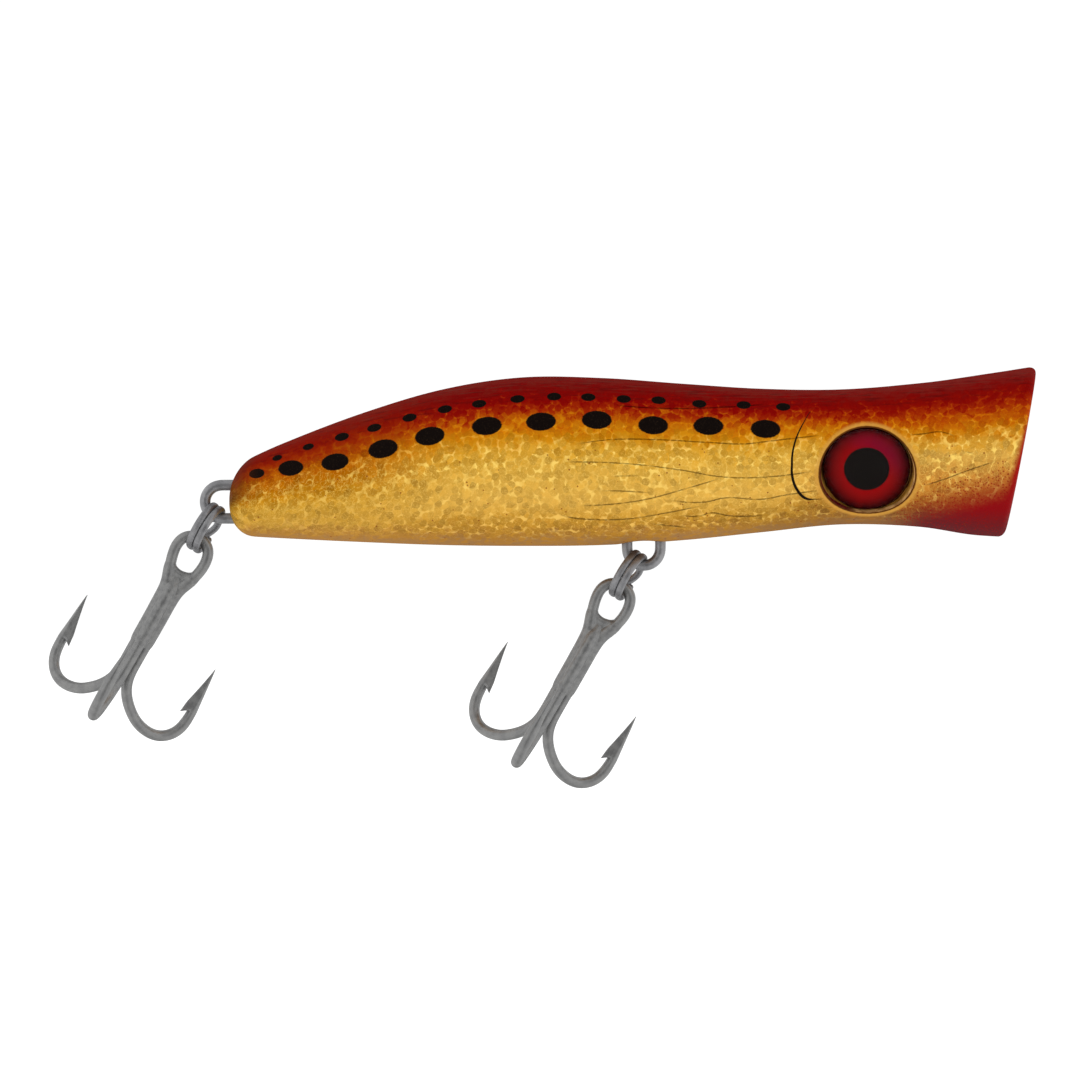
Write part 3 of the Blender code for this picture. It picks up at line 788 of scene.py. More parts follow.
def gill_gap(look, x, z):
    """Distance to the gill stroke's edge, negative inside it. The stroke is a curve round a point behind the
    gill: the distance from that point, and the stroke's thickness, by angle."""
    centre_x, centre_z = GILL_CENTRE
    turn = (z - centre_z).math("ARCTAN2", (x - centre_x) * -1.0)
    placed = []
    for px, pz, half in reversed(GILL):
        angle = atan2(pz - centre_z, centre_x - px)
        placed.append((angle, sqrt((px - centre_x) ** 2 + (pz - centre_z) ** 2), half))
    start, end = placed[0][0], placed[-1][0]
    share = look.add("MapRange", {"Value": turn, "From Min": start, "From Max": end})
    reach = look.curve(share, [((a - start) / (end - start), r / GILL_REACH) for a, r, _ in placed])
    half = look.curve(share, [((a - start) / (end - start), h) for a, _, h in placed])
    out = look.vector("LENGTH", look.add("CombineXYZ", {"X": x - centre_x, "Z": z - centre_z}), output=1)
    beyond = ((turn - (start + end) / 2).math("ABSOLUTE") - (end - start) / 2).math("MAXIMUM", 0.0)
    return (out - reach * GILL_REACH).math("ABSOLUTE") - half + beyond * GILL_REACH


def veins_mask(look, x, z, wobble):
    """1 on the veins."""
    total = None
    for vein in VEINS:
        start, end = vein[0][0], vein[-1][0]
        share = look.add("MapRange", {"Value": x, "From Min": start, "From Max": end})
        points = [
            ((px - start) / (end - start), (pz - VEIN_LOW) / (VEIN_HIGH - VEIN_LOW)) for px, pz in vein
        ]
        height = look.curve(share, points) * (VEIN_HIGH - VEIN_LOW) + VEIN_LOW
        off = (z - height + wobble).math("ABSOLUTE")
        middle, half = (start + end) / 2, (end - start) / 2
        ends = look.step((x - middle).math("ABSOLUTE"), half, half - 3.0)
        line = look.step(off, 0.16, 0.06) * ends
        total = line if total is None else total.math("MAXIMUM", line)
    return total


def flakes(look, where, scale, offset):
    """Overlapping round foil flakes: a random value for each, and how deep in the gap between them."""
    cell = look.cells(look.vector("ADD", where, offset), scale, 0.8)
    tint = look.add("SeparateXYZ", {"Vector": cell.sibling("Color")})
    return tint, look.step(cell, 0.5, 0.6)


def body_paint():
    """Clear-coated foil paint: flakes under airbrushed red, orange and gold, with spots, gill and veins."""
    look = Look("body_paint", {"Coat Weight": 0.06, "Coat Roughness": 0.12, "Coat IOR": 1.4,
                               "Specular IOR Level": 0.0})
    point = look.place()
    split = look.add("SeparateXYZ", {"Vector": point})
    x, z = split, split.sibling("Z")
    layout = look.add("Attribute", attribute_name="layout").sibling("Vector")
    parts = look.add("SeparateXYZ", {"Vector": layout})
    along, share, girth = parts, parts.sibling("Y"), parts.sibling("Z")
    foil = look.add("CombineXYZ", {"X": along, "Y": girth, "Z": 0.0})
    eye_edge = look.add("Attribute", attribute_name="eye_edge").sibling("Fac")
    in_cup = look.add("Attribute", attribute_name="in_cup").sibling("Fac")

    # Flakes: the front ones over the back ones, whose light gaps show between them.
    drift = look.vector("SCALE", look.noise(foil, 0.25).sibling("Color")).tuned("Scale", 0.7)
    warped = look.vector("ADD", foil, drift)
    tint, gap = flakes(look, warped, 0.84, (0.0, 0.0, 3.0))
    back_tint, back_gap = flakes(look, warped, 0.9, (31.0, 17.0, 0.0))
    open_gap = gap * back_gap
    fine = look.noise(foil, 1.7, 4.0, 0.65)
    broad = look.noise(foil, 0.07, 2.0)
    flake_shift = (tint - 0.5) * 0.055 + (back_tint - 0.5) * gap * 0.06 + open_gap * 0.03
    airbrush = share + flake_shift + (fine - 0.5) * 0.07 + (broad - 0.5) * 0.05

    middle = look.ramp(airbrush, MIDDLE_COLOURS)
    tailwards = look.step(x, -86.0, -110.0)
    colour = look.mix(tailwards, middle, look.ramp(airbrush, TAIL_COLOURS))
    colour = look.mix(look.step(x, -40.0, -16.0), colour, look.ramp(airbrush, HEAD_COLOURS))

    # Each flake's own shade, and the bright lacquer in the gaps, strongest on the flanks.
    flank = look.step(share, 0.14, 0.42) * look.step(share, 0.99, 0.88)
    shade = tint.sibling("Y") * 0.3 + back_tint.sibling("Y") * 0.12 + 0.745
    colour = look.shaded(flank * 0.9, colour, shade)
    patchy = look.patches(foil, 0.16, 2.0, 0.3, 0.6, 0.35, 1.0)
    brown = look.step(tint.sibling("Z"), 0.6, 0.72) * look.step(gap, 0.5, 0.0) * flank * patchy
    colour = look.shaded(brown * 0.6, colour, 0.7)
    bright = look.ramp(airbrush, ((0.15, 186, 60, 4), (0.34, 218, 136, 8),
                                  (0.5, 250, 212, 106), (0.9, 232, 184, 88)))
    veined = look.patches(foil, 0.9, 3.0, 0.4, 0.62)
    colour = look.mix(open_gap * flank * (veined * 0.7 + 0.3) * (tailwards * -0.5 + 1.0), colour, bright)
    thread = look.step((look.noise(foil, 1.3, 4.0, 0.6) - 0.5).math("ABSOLUTE"), 0.022, 0.004)
    colour = look.mix(thread * flank * 0.5, colour, bright)

    # Painted shade: the belly under the narrow neck is darker.
    under = look.step(x, -52.0, -30.0) * look.step(share, 0.68, 0.9)
    colour = look.shaded(under * 0.6, colour, 0.66)

    # Painted reflection: greyish lines along the top of the back, from the light above mirrored in the coat.
    reflection_streak_noise = look.noise(look.scaled(foil, 0.16, 2.6, 1.0), 0.8, 5.0, 0.6)
    painted_reflection_streaks = look.step(reflection_streak_noise, 0.52, 0.66) * look.step(share, 0.13, 0.04)
    colour = look.mix(painted_reflection_streaks * 0.6, colour, srgb(98, 44, 34))
    # Dry dark red strokes over the back's red, reaching a little further down.
    dark_grain = look.noise(look.scaled(foil, 0.3, 1.6, 1.0), 0.9, 3.0)
    colour = look.mix(look.step(dark_grain, 0.5, 0.72) * look.step(share, 0.2, 0.1) * 0.6, colour,
                      srgb(78, 6, 6))

    # Overspray at the lower corner of the mouth and along its rim, which breaks up into specks.
    spray = (x + 12.0) * 0.05 - (z + 8.3) * 0.17 + 0.3
    reds = look.ramp(share, ((0.6, 150, 20, 14), (0.84, 134, 12, 18), (0.95, 98, 26, 30),
                             (1.0, 84, 34, 36)))
    ahead = look.step(x, -21.0, -11.0)
    below = look.step(share, 0.4, 0.6)
    colour = look.mix(look.step(spray + (fine - 0.5) * 0.3, -0.3, 1.05) * ahead * below, colour, reds)
    rim = look.step(along + z * -0.08, 3.1, 4.5) * look.step(z, 8.0, 3.0)
    colour = look.mix(rim, colour, reds)
    specks = look.cells(point, 2.4)
    chance = look.add("SeparateXYZ", {"Vector": specks.sibling("Color")})
    dots = look.step(specks, 0.4, 0.28)
    thick = look.step(spray, -0.45, 0.7, 0.0, 0.85) * ahead * below
    sprayed = (thick - chance).math("GREATER_THAN", 0.0) * dots
    colour = look.mix(sprayed * 0.75, colour, srgb(134, 14, 12))
    stray = (chance.sibling("Y")).math("GREATER_THAN", 0.985) * dots * look.step(share, 0.3, 0.5)
    colour = look.mix(stray * 0.8, colour, srgb(120, 40, 16))

    # Drawn marks.
    ragged = (look.noise(point, 3.2, 3.0) - 0.5) * 0.14
    spots = look.step(spots_field(look, point) + ragged, 1.05, 0.95)
    glitter = look.patches(point, 7.0, 1.0, 0.64, 0.72)
    ink = look.mix(glitter * 0.45, srgb(15, 9, 7), srgb(66, 50, 34))
    wobble = (look.noise(point, 2.4, 3.0) - 0.5) * 0.16
    worn = look.patches(point, 1.1, 2.0, 0.32, 0.52, 0.35, 0.85)
    lines = veins_mask(look, x, z, wobble) * worn
    colour = look.shaded(lines, colour, 0.24)
    gill = look.step(gill_gap(look, x, z) + wobble * 0.2, 0.07, -0.03)
    colour = look.mix(spots, colour, ink)
    colour = look.mix(gill, colour, srgb(22, 16, 10))

    # Painted highlight and painted shade round the eye: a pale ring on the socket's rounded lip, and a dark
    # line where the lip turns down into the socket.
    painted_lip_highlight = look.step(eye_edge + wobble, 1.25, 0.55)
    colour = look.mix(painted_lip_highlight * 0.8, colour, look.mix(fine, srgb(190, 132, 44), srgb(216, 164, 78)))
    painted_lip_shade = look.step(eye_edge + wobble * 0.8, 0.4, 0.2)
    colour = look.mix(painted_lip_shade * 0.92, colour, srgb(62, 14, 5))
    # A darker ring round the belly hanger.
    from_hanger = look.vector("DISTANCE", look.scaled(point, 1.0, 1.2, 0.0), (RECESS_X, 0.0, 0.0), output=1)
    dark_hanger_ring = look.step(from_hanger, 4.3, 2.9) * look.step(share, 0.9, 0.97)
    colour = look.mix(dark_hanger_ring * 0.8, colour, srgb(96, 52, 20))
    tail_end = look.step(along, TAIL_X + 6.0, TAIL_X + 0.3) * look.step(share, 0.66, 0.46)
    colour = look.mix(tail_end * 0.7, colour, srgb(70, 28, 6))
    colour = look.mix(in_cup, colour, look.mix(fine, srgb(120, 8, 10), srgb(158, 20, 18)))

    look.drive("Base Color", colour)
    ink_mask = spots.math("MAXIMUM", gill)
    look.drive("Metallic", flank * ink_mask.inverted() * 0.18)
    look.drive("Roughness", look.step(tint.sibling("Z"), 0.0, 1.0, 0.42, 0.6))
    relief = fine * 0.3 + gap * -0.25 + ink_mask * 0.5
    look.drive("Normal", look.bump(relief, 0.25, 0.05 * MM))
    return look.material


def socket_paint():
    """Gold paint on the wall of the eye's seat, with dark pits and a painted shadow on one side."""
    look = Look("socket_paint", {"Coat Weight": 0.1, "Coat Roughness": 0.15, "Specular IOR Level": 0.1})
    point = look.place()
    patches = look.noise(point, 0.9, 4.0)
    gold = look.mix(look.step(patches, 0.35, 0.65), srgb(152, 108, 58), srgb(200, 156, 96))
    pits = look.patches(point, 3.4, 2.0, 0.6, 0.72)
    colour = look.mix(pits * 0.7, gold, srgb(84, 46, 20))
    # Painted shadow: the upper, tailward side of the wall is dark red, where the rim shades it; the gold
    # shows on the lower, noseward side.
    towards = look.vector("SUBTRACT", look.scaled(point, 1.0, 0.0, 1.0), (EYE_X, 0.0, EYE_Z))
    facing_light = look.vector("DOT_PRODUCT", look.vector("NORMALIZE", towards), (0.86, 0.0, -0.5), output=1)
    unshaded_wall = look.step(facing_light + (patches - 0.5) * 0.5, 0.0, 0.45)
    colour = look.mix(unshaded_wall, srgb(76, 10, 8), colour)
    look.drive("Base Color", colour)
    look.drive("Roughness", look.step(patches, 0.3, 0.7, 0.35, 0.6))
    look.drive("Normal", look.bump(patches, 0.4, 0.15 * MM))
    return look.material


# ---------------------------------------------------------------- eyes
PUPIL_RADIUS = 3.82


def eye_print():
    """Red iris round a black pupil, printed on a sparkling foil."""
    look = Look("eye_print", {"Specular IOR Level": 0.05})
    point = look.place()
    split = look.add("SeparateXYZ", {"Vector": look.scaled(point, 1.0, 1.0, 0.0)})
    radius = look.vector("LENGTH", look.scaled(point, 1.0, 1.0, 0.0), output=1)
    grain = look.noise(point, 1.6, 3.0)
    edge = radius + (grain - 0.5) * 0.12
    # Painted shadow: the iris darkens towards its rim, where the socket's wall shades it.
    iris = look.ramp(edge * (1 / EYE_RADIUS), (
        (0.5, 156, 0, 4), (0.6, 148, 0, 3), (0.74, 132, 0, 2), (0.86, 98, 0, 3),
        (0.94, 58, 0, 3), (1.0, 36, 1, 2),
    ))
    # Painted reflection: a magenta tint across part of the iris, from the light mirrored in the lens.
    lean = split * 0.7 + split.sibling("Y")
    magenta = look.step(lean, 0.5, 6.5) * look.step(edge, EYE_RADIUS, 4.4)
    iris = look.mix(magenta * 0.7, iris, srgb(118, 0, 48))
    rays = look.noise(look.vector("NORMALIZE", point), 9.0, 3.0)
    iris = look.mix(look.step(rays, 0.4, 0.7) * 0.15, iris, srgb(166, 10, 8))
    pupil = look.step(edge, PUPIL_RADIUS + 0.14, PUPIL_RADIUS - 0.14)
    black = look.mix(look.patches(point, 5.0, 2.0, 0.5, 0.8) * 0.3, srgb(18, 14, 13), srgb(36, 29, 26))
    look.drive("Base Color", look.mix(pupil, iris, black))
    look.drive("Roughness", look.step(grain, 0.2, 0.8, 0.45, 0.6))
    look.drive("Normal", look.bump(grain, 0.1, 0.05 * MM))
    return look.material


def lens_clear():
    """Clear hard plastic: it mirrors a little and lets the print show."""
    look = Look("lens_clear", {})
    point = look.place()
    polish = look.noise(point, 0.8, 2.0)
    clear = look.add("BsdfTransparent", {"Color": (0.96, 0.95, 0.94, 1.0)})
    gloss = look.add("BsdfGlossy", {"Roughness": look.step(polish, 0.3, 0.7, 0.02, 0.07)})
    share = look.add("Fresnel", {"IOR": 1.46}) * 0.1
    mixed = look.add("MixShader", {0: share, 1: clear, 2: gloss})
    look.surface(mixed, "Material Output")
    look.tree.nodes.remove(look.shader)
    return look.material


def make_eyes(looks):
    dome_radius = (EYE_RADIUS ** 2 + LENS_CROWN ** 2) / (2 * LENS_CROWN)
    rim_angle = asin(EYE_RADIUS / dome_radius)
    ease = 0.12
    dome = []
    steps = 18
    for i in range(steps):
        angle = rim_angle * i / steps
        dome.append((dome_radius * sin(angle), LENS_EDGE + LENS_CROWN - dome_radius * (1 - cos(angle))))
    edge = [(EYE_RADIUS - ease, LENS_EDGE + 0.03), (EYE_RADIUS, LENS_EDGE - ease), (EYE_RADIUS, ease)]
    lens = dome + edge + [(EYE_RADIUS - ease, 0.0), (0.0, 0.0)]
    rim = EYE_RADIUS - ease
    disc = [
        (0.0, EYE_DISC), (rim * 0.5, EYE_DISC), (rim, EYE_DISC), (EYE_RADIUS, EYE_DISC - ease),
        (EYE_RADIUS, ease), (rim, 0.0), (0.0, 0.0),
    ]
    for side, word in ((-1, "right"), (1, "left")):
        outward, seat = eye_frame(side)
        turn = facing_out(outward)
        seat.x -= EYE_SHIFT
        at_disc = Matrix.Translation((seat + outward * EYE_GAP) * MM) @ turn
        at_lens = Matrix.Translation((seat + outward * (2 * EYE_GAP + EYE_DISC)) * MM) @ turn
        oval = Matrix.Diagonal((*EYE_OVAL, 1.0, 1.0))
        disc_piece = turned(f"printed_eye_{word}", disc, [looks["eye"]], at_disc @ oval)
        lens_piece = turned(f"domed_lens_{word}", lens, [looks["lens"]], at_lens @ oval)
        for piece in (disc_piece, lens_piece):
            piece.data.set_sharp_from_angle(angle=radians(50.0))
        finish_piece(disc_piece, "lure_body", "eye_print", f"eye_disc_{word}")
        finish_piece(lens_piece, "lure_body", "eye_lens", f"eye_lens_{word}")


# ---------------------------------------------------------------- metal
def worn_metal(name, dark, light, rough, grain_scale=0.7, pitted=0.22):
    """Bare wire metal: cloudy plating with small pits and scuffs."""
    look = Look(name, {"Metallic": 0.8})
    point = look.place()
    cloud = look.noise(point, grain_scale, 5.0, 0.6)
    speck = look.noise(point, 3.6, 2.0)
    tone = look.mix(look.step(cloud, 0.34, 0.66), dark, light)
    pits = look.step(speck, 0.6, 0.7)
    tone = look.shaded(pits * pitted, tone, 0.62)
    scuffs = look.step(look.noise(look.scaled(point, 1.0, 1.0, 0.25), 2.2, 3.0), 0.58, 0.68)
    tone = look.shaded(scuffs * 0.3, tone, 1.2)
    look.drive("Base Color", tone)
    look.drive("Roughness", look.step(cloud, 0.3, 0.7, rough, rough + 0.14))
    look.drive("Normal", look.bump(cloud, 0.08, 0.2 * MM))
    return look.material


def box_mm(node):
    return [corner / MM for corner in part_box(node)]


def link_ends(node):
    """Outer and inner loop centres of a wire link, from its CAD box."""
    low, high = box_mm(node)
    reach = LINK_BEND + LINK_WIRE
    if high.x - low.x > high.z - low.z:
        ends = [(low.x + reach, (low.z + high.z) / 2), (high.x - reach, (low.z + high.z) / 2)]
        return ends if node == "tail_hanger" else ends[::-1]
    return [((low.x + high.x) / 2, low.z + reach), ((low.x + high.x) / 2, high.z - reach)]


def make_link(node, looks):
    outer, inner = (Vector(end) for end in link_ends(node))
    heading = outer - inner
    angle = atan2(heading.y, heading.x)
    loop = arc(outer, LINK_BEND, angle - pi / 2, angle + pi / 2, LINK_STEPS)
    loop += arc(inner, LINK_BEND, angle + pi / 2, angle + 3 * pi / 2, LINK_STEPS)
    path = relaxed([(x, 0.0, z) for x, z in loop], 0.3, 4, closed=True)
    tangents, normals = carried_normals(path, Vector((0, 1, 0)), closed=True)
    sections = [round_section(LINK_WIRE, 24)] * len(path)
    piece = swept(f"fine_{node}", path, tangents, normals, sections, [looks["hanger"]], closed=True)
    finish_piece(piece, "lure_body", "hanger_wire", node)


def joint_place(name):
    """A hinge's point and axis, in millimetres and as a direction."""
    joint = next(j for j in frame["joints"] if j["name"] == name)
    return Vector(joint["pos_m"]) / MM, Vector(joint["axis"]).normalized()


def tackle_frames(place):
    """The spaces that the split ring and the treble are drawn in: the ring's axis is X, and Z points from
    the ring's middle to the hanger."""
    swing, _ = joint_place(f"{place}_ring_swing")
    middle, axis = joint_place(f"{place}_treble_sway")
    up = (swing - middle).normalized()
    across = up.cross(axis).normalized()
    turn = Matrix((axis, across, up)).transposed().to_4x4()
    ring = Matrix.Translation(middle * MM) @ turn
    hook = ring @ Matrix.Rotation(HOOK_TILT, 4, "X") @ Matrix.Rotation(HOOK_TURN, 4, "Z")
    return ring, hook @ Matrix.Translation((0, 0, -HOOK_EYE_DROP * MM))


def make_ring(place, looks):
    """A double coil of flattened wire, which steps over from one layer to the other."""
    path = []
    for i in range(RING_STEPS + 1):
        turn = RING_TURNS * i / RING_STEPS
        angle = 2 * pi * turn + RING_START
        layer = (smooth_share(turn, *RING_JOG) - 0.5) * RING_PITCH * RING_FLATTEN
        path.append(Vector((layer, RING_RADIUS * cos(angle), RING_RADIUS * sin(angle))))
    tangents, normals = carried_normals(path, Vector((1, 0, 0)), Vector((1, 0, 0)))
    width, power = RING_PITCH * RING_FLATTEN / 2 - RING_CREVICE, 2.25
    sections = []
    for i in range(RING_STEPS + 1):
        from_end = min(i, RING_STEPS - i) / 3
        size = 1.0 if from_end >= 1 else 0.55 + 0.45 * sqrt(1 - (1 - from_end) ** 2)
        section = []
        for x, y in round_section(1.0, 24):
            bulge = rounded(x, y, power)
            section.append((x * bulge * width * size, y * bulge * RING_WIRE * size))
        sections.append(section)
    ring, _ = tackle_frames(place)
    name = f"{place}_coiled_ring"
    piece = swept(name, path, tangents, normals, sections, [looks["ring"]], place=ring)
    piece.data.set_sharp_from_angle(angle=radians(50.0))
    finish_piece(piece, f"{place}_ring", "ring_wire", f"{place}_split_ring")


def hook_curve():
    """Centre line of one hook in its own plane, from the point to the shank: (out from the axis, depth)."""
    limb_foot = HOOK_BOTTOM - HOOK_POINT_BEND
    limb = HOOK_THROAT + HOOK_POINT_BEND
    points = [(limb, HOOK_TIP), (limb, limb_foot - 3.0)]
    points += arc((HOOK_THROAT, limb_foot), HOOK_POINT_BEND, 0.0, pi / 2, 14)
    wide_centre = (HOOK_THROAT, HOOK_BOTTOM - HOOK_SHANK_BEND)
    points += arc(wide_centre, HOOK_SHANK_BEND, pi / 2, pi / 2 + HOOK_SHANK_SWEEP, 12)[1:]
    leave_out, leave_depth = points[-1]
    steps = 14
    for i in range(1, steps + 1):
        share = i / steps
        fall = (1 - share) ** HOOK_MERGE_CURVE
        points.append((HOOK_STRAND + (leave_out - HOOK_STRAND) * fall, leave_depth - HOOK_MERGE * share))
    return points


def in_heading(points, heading):
    """Points of a hook's plane turned to its heading about the treble's axis."""
    x, y = sin(heading), -cos(heading)
    return [(out * x, out * y, -depth) for out, depth in points]


def spear_section(from_tip, sides=28):
    """Section of the hook's point: a flattened spear with a barb on its inner side, the normal's side."""
    share = min(1.0, from_tip / SPEAR_LENGTH)
    outer = HOOK_WIRE * (0.05 + 0.95 * share ** 0.8)
    side = HOOK_WIRE * (0.05 + 0.95 * min(1.0, share * 1.08) ** 0.9)
    barb = 0.0
    pull = 0.0
    if from_tip <= SPEAR_LENGTH:
        inner = HOOK_WIRE * (0.05 + 0.95 * share)
        barb = BARB_HEIGHT * share ** 1.3
        pull = BARB_LENGTH * smooth_share(from_tip, SPEAR_LENGTH - 1.4, SPEAR_LENGTH)
    else:
        inner = HOOK_WIRE * (0.82 + 0.18 * smooth_share(from_tip, SPEAR_LENGTH, SPEAR_LENGTH + 3.0))
    # Nearly a diamond at the tip, round behind the barb.
    power = 1.45 + 0.55 * smooth_share(from_tip, 4.0, SPEAR_LENGTH + 1.5)
    section = []
    for x, y in round_section(1.0, sides):
        bulge = rounded(x, y, power)
        crest = max(0.0, x) ** 5
        reach = (inner if x > 0 else outer) * x * bulge + barb * crest
        section.append((reach, side * y * bulge * (1 - 0.25 * crest), pull * crest))
    return section


def spear_path(path):
    """The path with closer points near the barb, at its front end."""
    lengths = lengths_along(path)
    fine = [SPEAR_LENGTH * i / 26 for i in range(27)] + [SPEAR_LENGTH + 0.06, SPEAR_LENGTH + 0.5]
    points = []
    for want in fine:
        k = max(i for i in range(len(path) - 1) if lengths[i] <= want)
        points.append(path[k].lerp(path[k + 1], (want - lengths[k]) / (lengths[k + 1] - lengths[k])))
    return points + [p for p, length in zip(path, lengths) if length > SPEAR_LENGTH + 0.8]


def treble_eye():
    """Centre line of the treble's eye, from the right strand over the top to the left one: (x, depth)."""
    return [
        (0.98, 12.0), (1.02, 10.2), (1.28, 8.7), (1.9, 7.3), (2.56, 5.6), (2.84, 4.2), (2.88, 2.7),
        (2.5, 1.0), (1.55, 0.0), (0.0, -0.42), (-1.6, 0.0), (-2.6, 1.0), (-2.95, 2.5), (-2.72, 4.2),
        (-2.26, 5.8), (-1.7, 7.3), (-1.18, 8.7), (-1.0, 10.2), (-0.98, 12.0),
    ]


def hook_piece(name, path, headings, blunt_end, looks, place):
    """A hook wire with a spear at its start, and at its end too unless that end is blunt."""
    front = spear_path(path)
    inward = [Vector((-sin(h), cos(h), 0.0)) for h in headings]
    if not blunt_end:
        front = spear_path(front[::-1])[::-1]
    lengths = lengths_along(front)
    total = lengths[-1]
    tangents, normals = carried_normals(front, inward[0], None if blunt_end else inward[1])
    sections = []
    for length in lengths:
        near_start = length <= total / 2 or blunt_end
        section = spear_section(length if near_start else total - length)
        if not near_start:
            section = [(x, y, -shift) for x, y, shift in section]
        if blunt_end:
            ease = 0.35 + 0.65 * smooth_share(total - length, 0.0, SHANK_TAPER)
            section = [(x * ease, y * ease, shift) for x, y, shift in section]
        sections.append(section)
    piece = swept(name, front, tangents, normals, sections, [looks["hook"]], place=place)
    piece.data.set_sharp_from_angle(angle=radians(48.0))
    return piece


def pour(shape, path, first, sections):
    """Add a solid along a path to the braze's shape."""
    tangents, normals = carried_normals(path, first)
    part = swept("strand", path, tangents, normals, sections, [])
    shape.from_mesh(part.data)
    bpy.data.objects.remove(part, do_unlink=True)


def braze_piece(name, strands, looks, place):
    """Solder that runs the three wires of the shank together, with soft hollows between them. The third of
    the strands thins out at its top."""
    shape = bmesh.new()
    for k, strand in enumerate(strands):
        path = [p for p in strand if BRAZE_FROM - 2.0 < -p.z < BRAZE_TO + 1.6 and p.xy.length < 4.0]
        sections = []
        for point in path:
            depth = -point.z
            cover = smooth_share(depth, BRAZE_FROM - 2.0, BRAZE_FROM + 0.6)
            cover *= 1 - smooth_share(depth, BRAZE_TO - 1.2, BRAZE_TO + 1.4)
            thin = 0.6 + 0.4 * smooth_share(depth, 7.6, 9.4) if k == 2 else 1.0
            sections.append(round_section(HOOK_WIRE * (0.84 + 0.34 * cover) * thin, 24))
        pour(shape, path, Vector((1, 0, 0)), sections)
    # A sagging bridge rounds off the corner under the eye.
    bridge = relaxed(BRIDGE, 0.2, 6)
    pour(shape, bridge, Vector((0, 1, 0)), [round_section(BRIDGE_WIRE)] * len(bridge))
    # A core fills the middle of the shank.
    core = [Vector((0.05, 0.1, -BRAZE_FROM - 0.1 - (BRAZE_TO - BRAZE_FROM) * i / 30)) for i in range(31)]
    sections = []
    for point in core:
        depth = -point.z
        end = smooth_share(depth, BRAZE_FROM - 0.6, BRAZE_FROM + 0.6)
        end *= 1 - smooth_share(depth, 17.0, BRAZE_TO)
        wide = 1.0 + 0.9 * (1 - smooth_share(depth, BRAZE_FROM, 9.5))
        narrow = 0.2 + 0.8 * end
        sections.append([(x * wide * narrow, y * narrow) for x, y in round_section(CORE_WIRE)])
    pour(shape, core, Vector((1, 0, 0)), sections)
    mesh = bpy.data.meshes.new(name)
    shape.to_mesh(mesh)
    shape.free()
    piece = new_object(name, mesh)
    piece.matrix_world = place
    remesh = piece.modifiers.new("fuse", "REMESH")
    remesh.mode = "VOXEL"
    remesh.voxel_size = BRAZE_VOXEL * MM
    remesh.use_smooth_shade = True
    soften = piece.modifiers.new("soften", "SMOOTH")
    soften.factor = 0.5
    soften.iterations = BRAZE_SMOOTHING
    bpy.context.view_layer.update()
    apply_modifiers(piece)
    piece.data.materials.clear()
    piece.data.materials.append(looks["braze"])
    piece.data.shade_smooth()
    return piece


def make_treble(place, looks):
    _, space = tackle_frames(place)
    bend = hook_curve()
    eye = [(x, 0.0, -depth) for x, depth in treble_eye()]
    shift = HOOK_STRAND / 2
    right = in_heading(bend, radians(120)) + [(HOOK_STRAND * 0.9, shift, -15.0)]
    left = in_heading(bend, radians(-120)) + [(-HOOK_STRAND * 0.9, shift, -15.0)]
    double = relaxed(right + eye + left[::-1], PATH_SPACING, PATH_PASSES)
    front = -HOOK_STRAND - 0.05
    single = in_heading(bend, 0.0)
    single += [(0.0, front, -14.0), (0.0, front, -11.6), (0.0, front + 0.5, -9.4), (0.0, -0.1, -7.6)]
    single = relaxed(single, PATH_SPACING, PATH_PASSES)
    headings = (radians(120), radians(-120))
    body = f"{place}_treble"
    piece = hook_piece(f"{place}_treble_pair", double, headings, False, looks, space)
    finish_piece(piece, body, "hook_tin", f"{body}_double_hook")
    piece = hook_piece(f"{place}_treble_third", single, (0.0,), True, looks, space)
    finish_piece(piece, body, "hook_tin", f"{body}_single_hook")
    half = len(double) // 2
    braze = braze_piece(f"{place}_treble_braze", (double[:half], double[half:], single), looks, space)
    finish_piece(braze, body, "hook_tin")


# ---------------------------------------------------------------- pieces inside the body
def make_inner(looks):
    low, high = box_mm("tail_ballast")
    radius = (high.z - low.z) / 2
    length = high.x - low.x
    ease = 0.5
    half = length / 2
    profile = [(0.0, half), (radius - ease, half), (radius, half - ease), (radius, -half + ease),
               (radius - ease, -half), (0.0, -half)]
    centre = (low + high) / 2
    lie_down = Matrix.Rotation(pi / 2, 4, "Y")
    slug = turned("cast_ballast", profile, [looks["ballast"]], Matrix.Translation(centre * MM) @ lie_down)
    slug.data.set_sharp_from_angle(angle=radians(30.0))
    finish_piece(slug, "lure_body", "ballast_steel", "tail_ballast")
    for place in ("rear", "front"):
        low, high = box_mm(f"rattle_ball_{place}")
        radius = (high.x - low.x) / 2
        steps = 40
        profile = [(radius * sin(pi * i / steps), radius * cos(pi * i / steps)) for i in range(steps + 1)]
        at = Matrix.Translation((low + high) / 2 * MM)
        ball = turned(f"steel_rattle_{place}", profile, [looks["ball"]], at, segments=72)
        finish_piece(ball, f"{place}_rattle", "rattle_steel", f"rattle_ball_{place}")


# ---------------------------------------------------------------- stage
VIEW_CENTRE = Vector((-0.07575, 0.0, -0.0147))
VIEW_WIDTH = 0.1806
VIEW_DISTANCE = 2.5
SENSOR = 36.0
WHITE = (1.0, 1.0, 1.0, 1.0)
WORLD_ABOVE = 0.55                  # how bright the world is above, at the sides, and in front and behind
WORLD_SIDES = 0.95
WORLD_FRONT = 0.4
WORLD_SEEN = 1.05                   # and where the camera sees it
FLOOR_SIZE = 4000.0
FLOOR_GAP = 1.0                     # below the lowest hook
BOX_DISTANCE = 2.4
BOX_SIZE = (1.6, 1.9)
BOX_POWER = 10.2


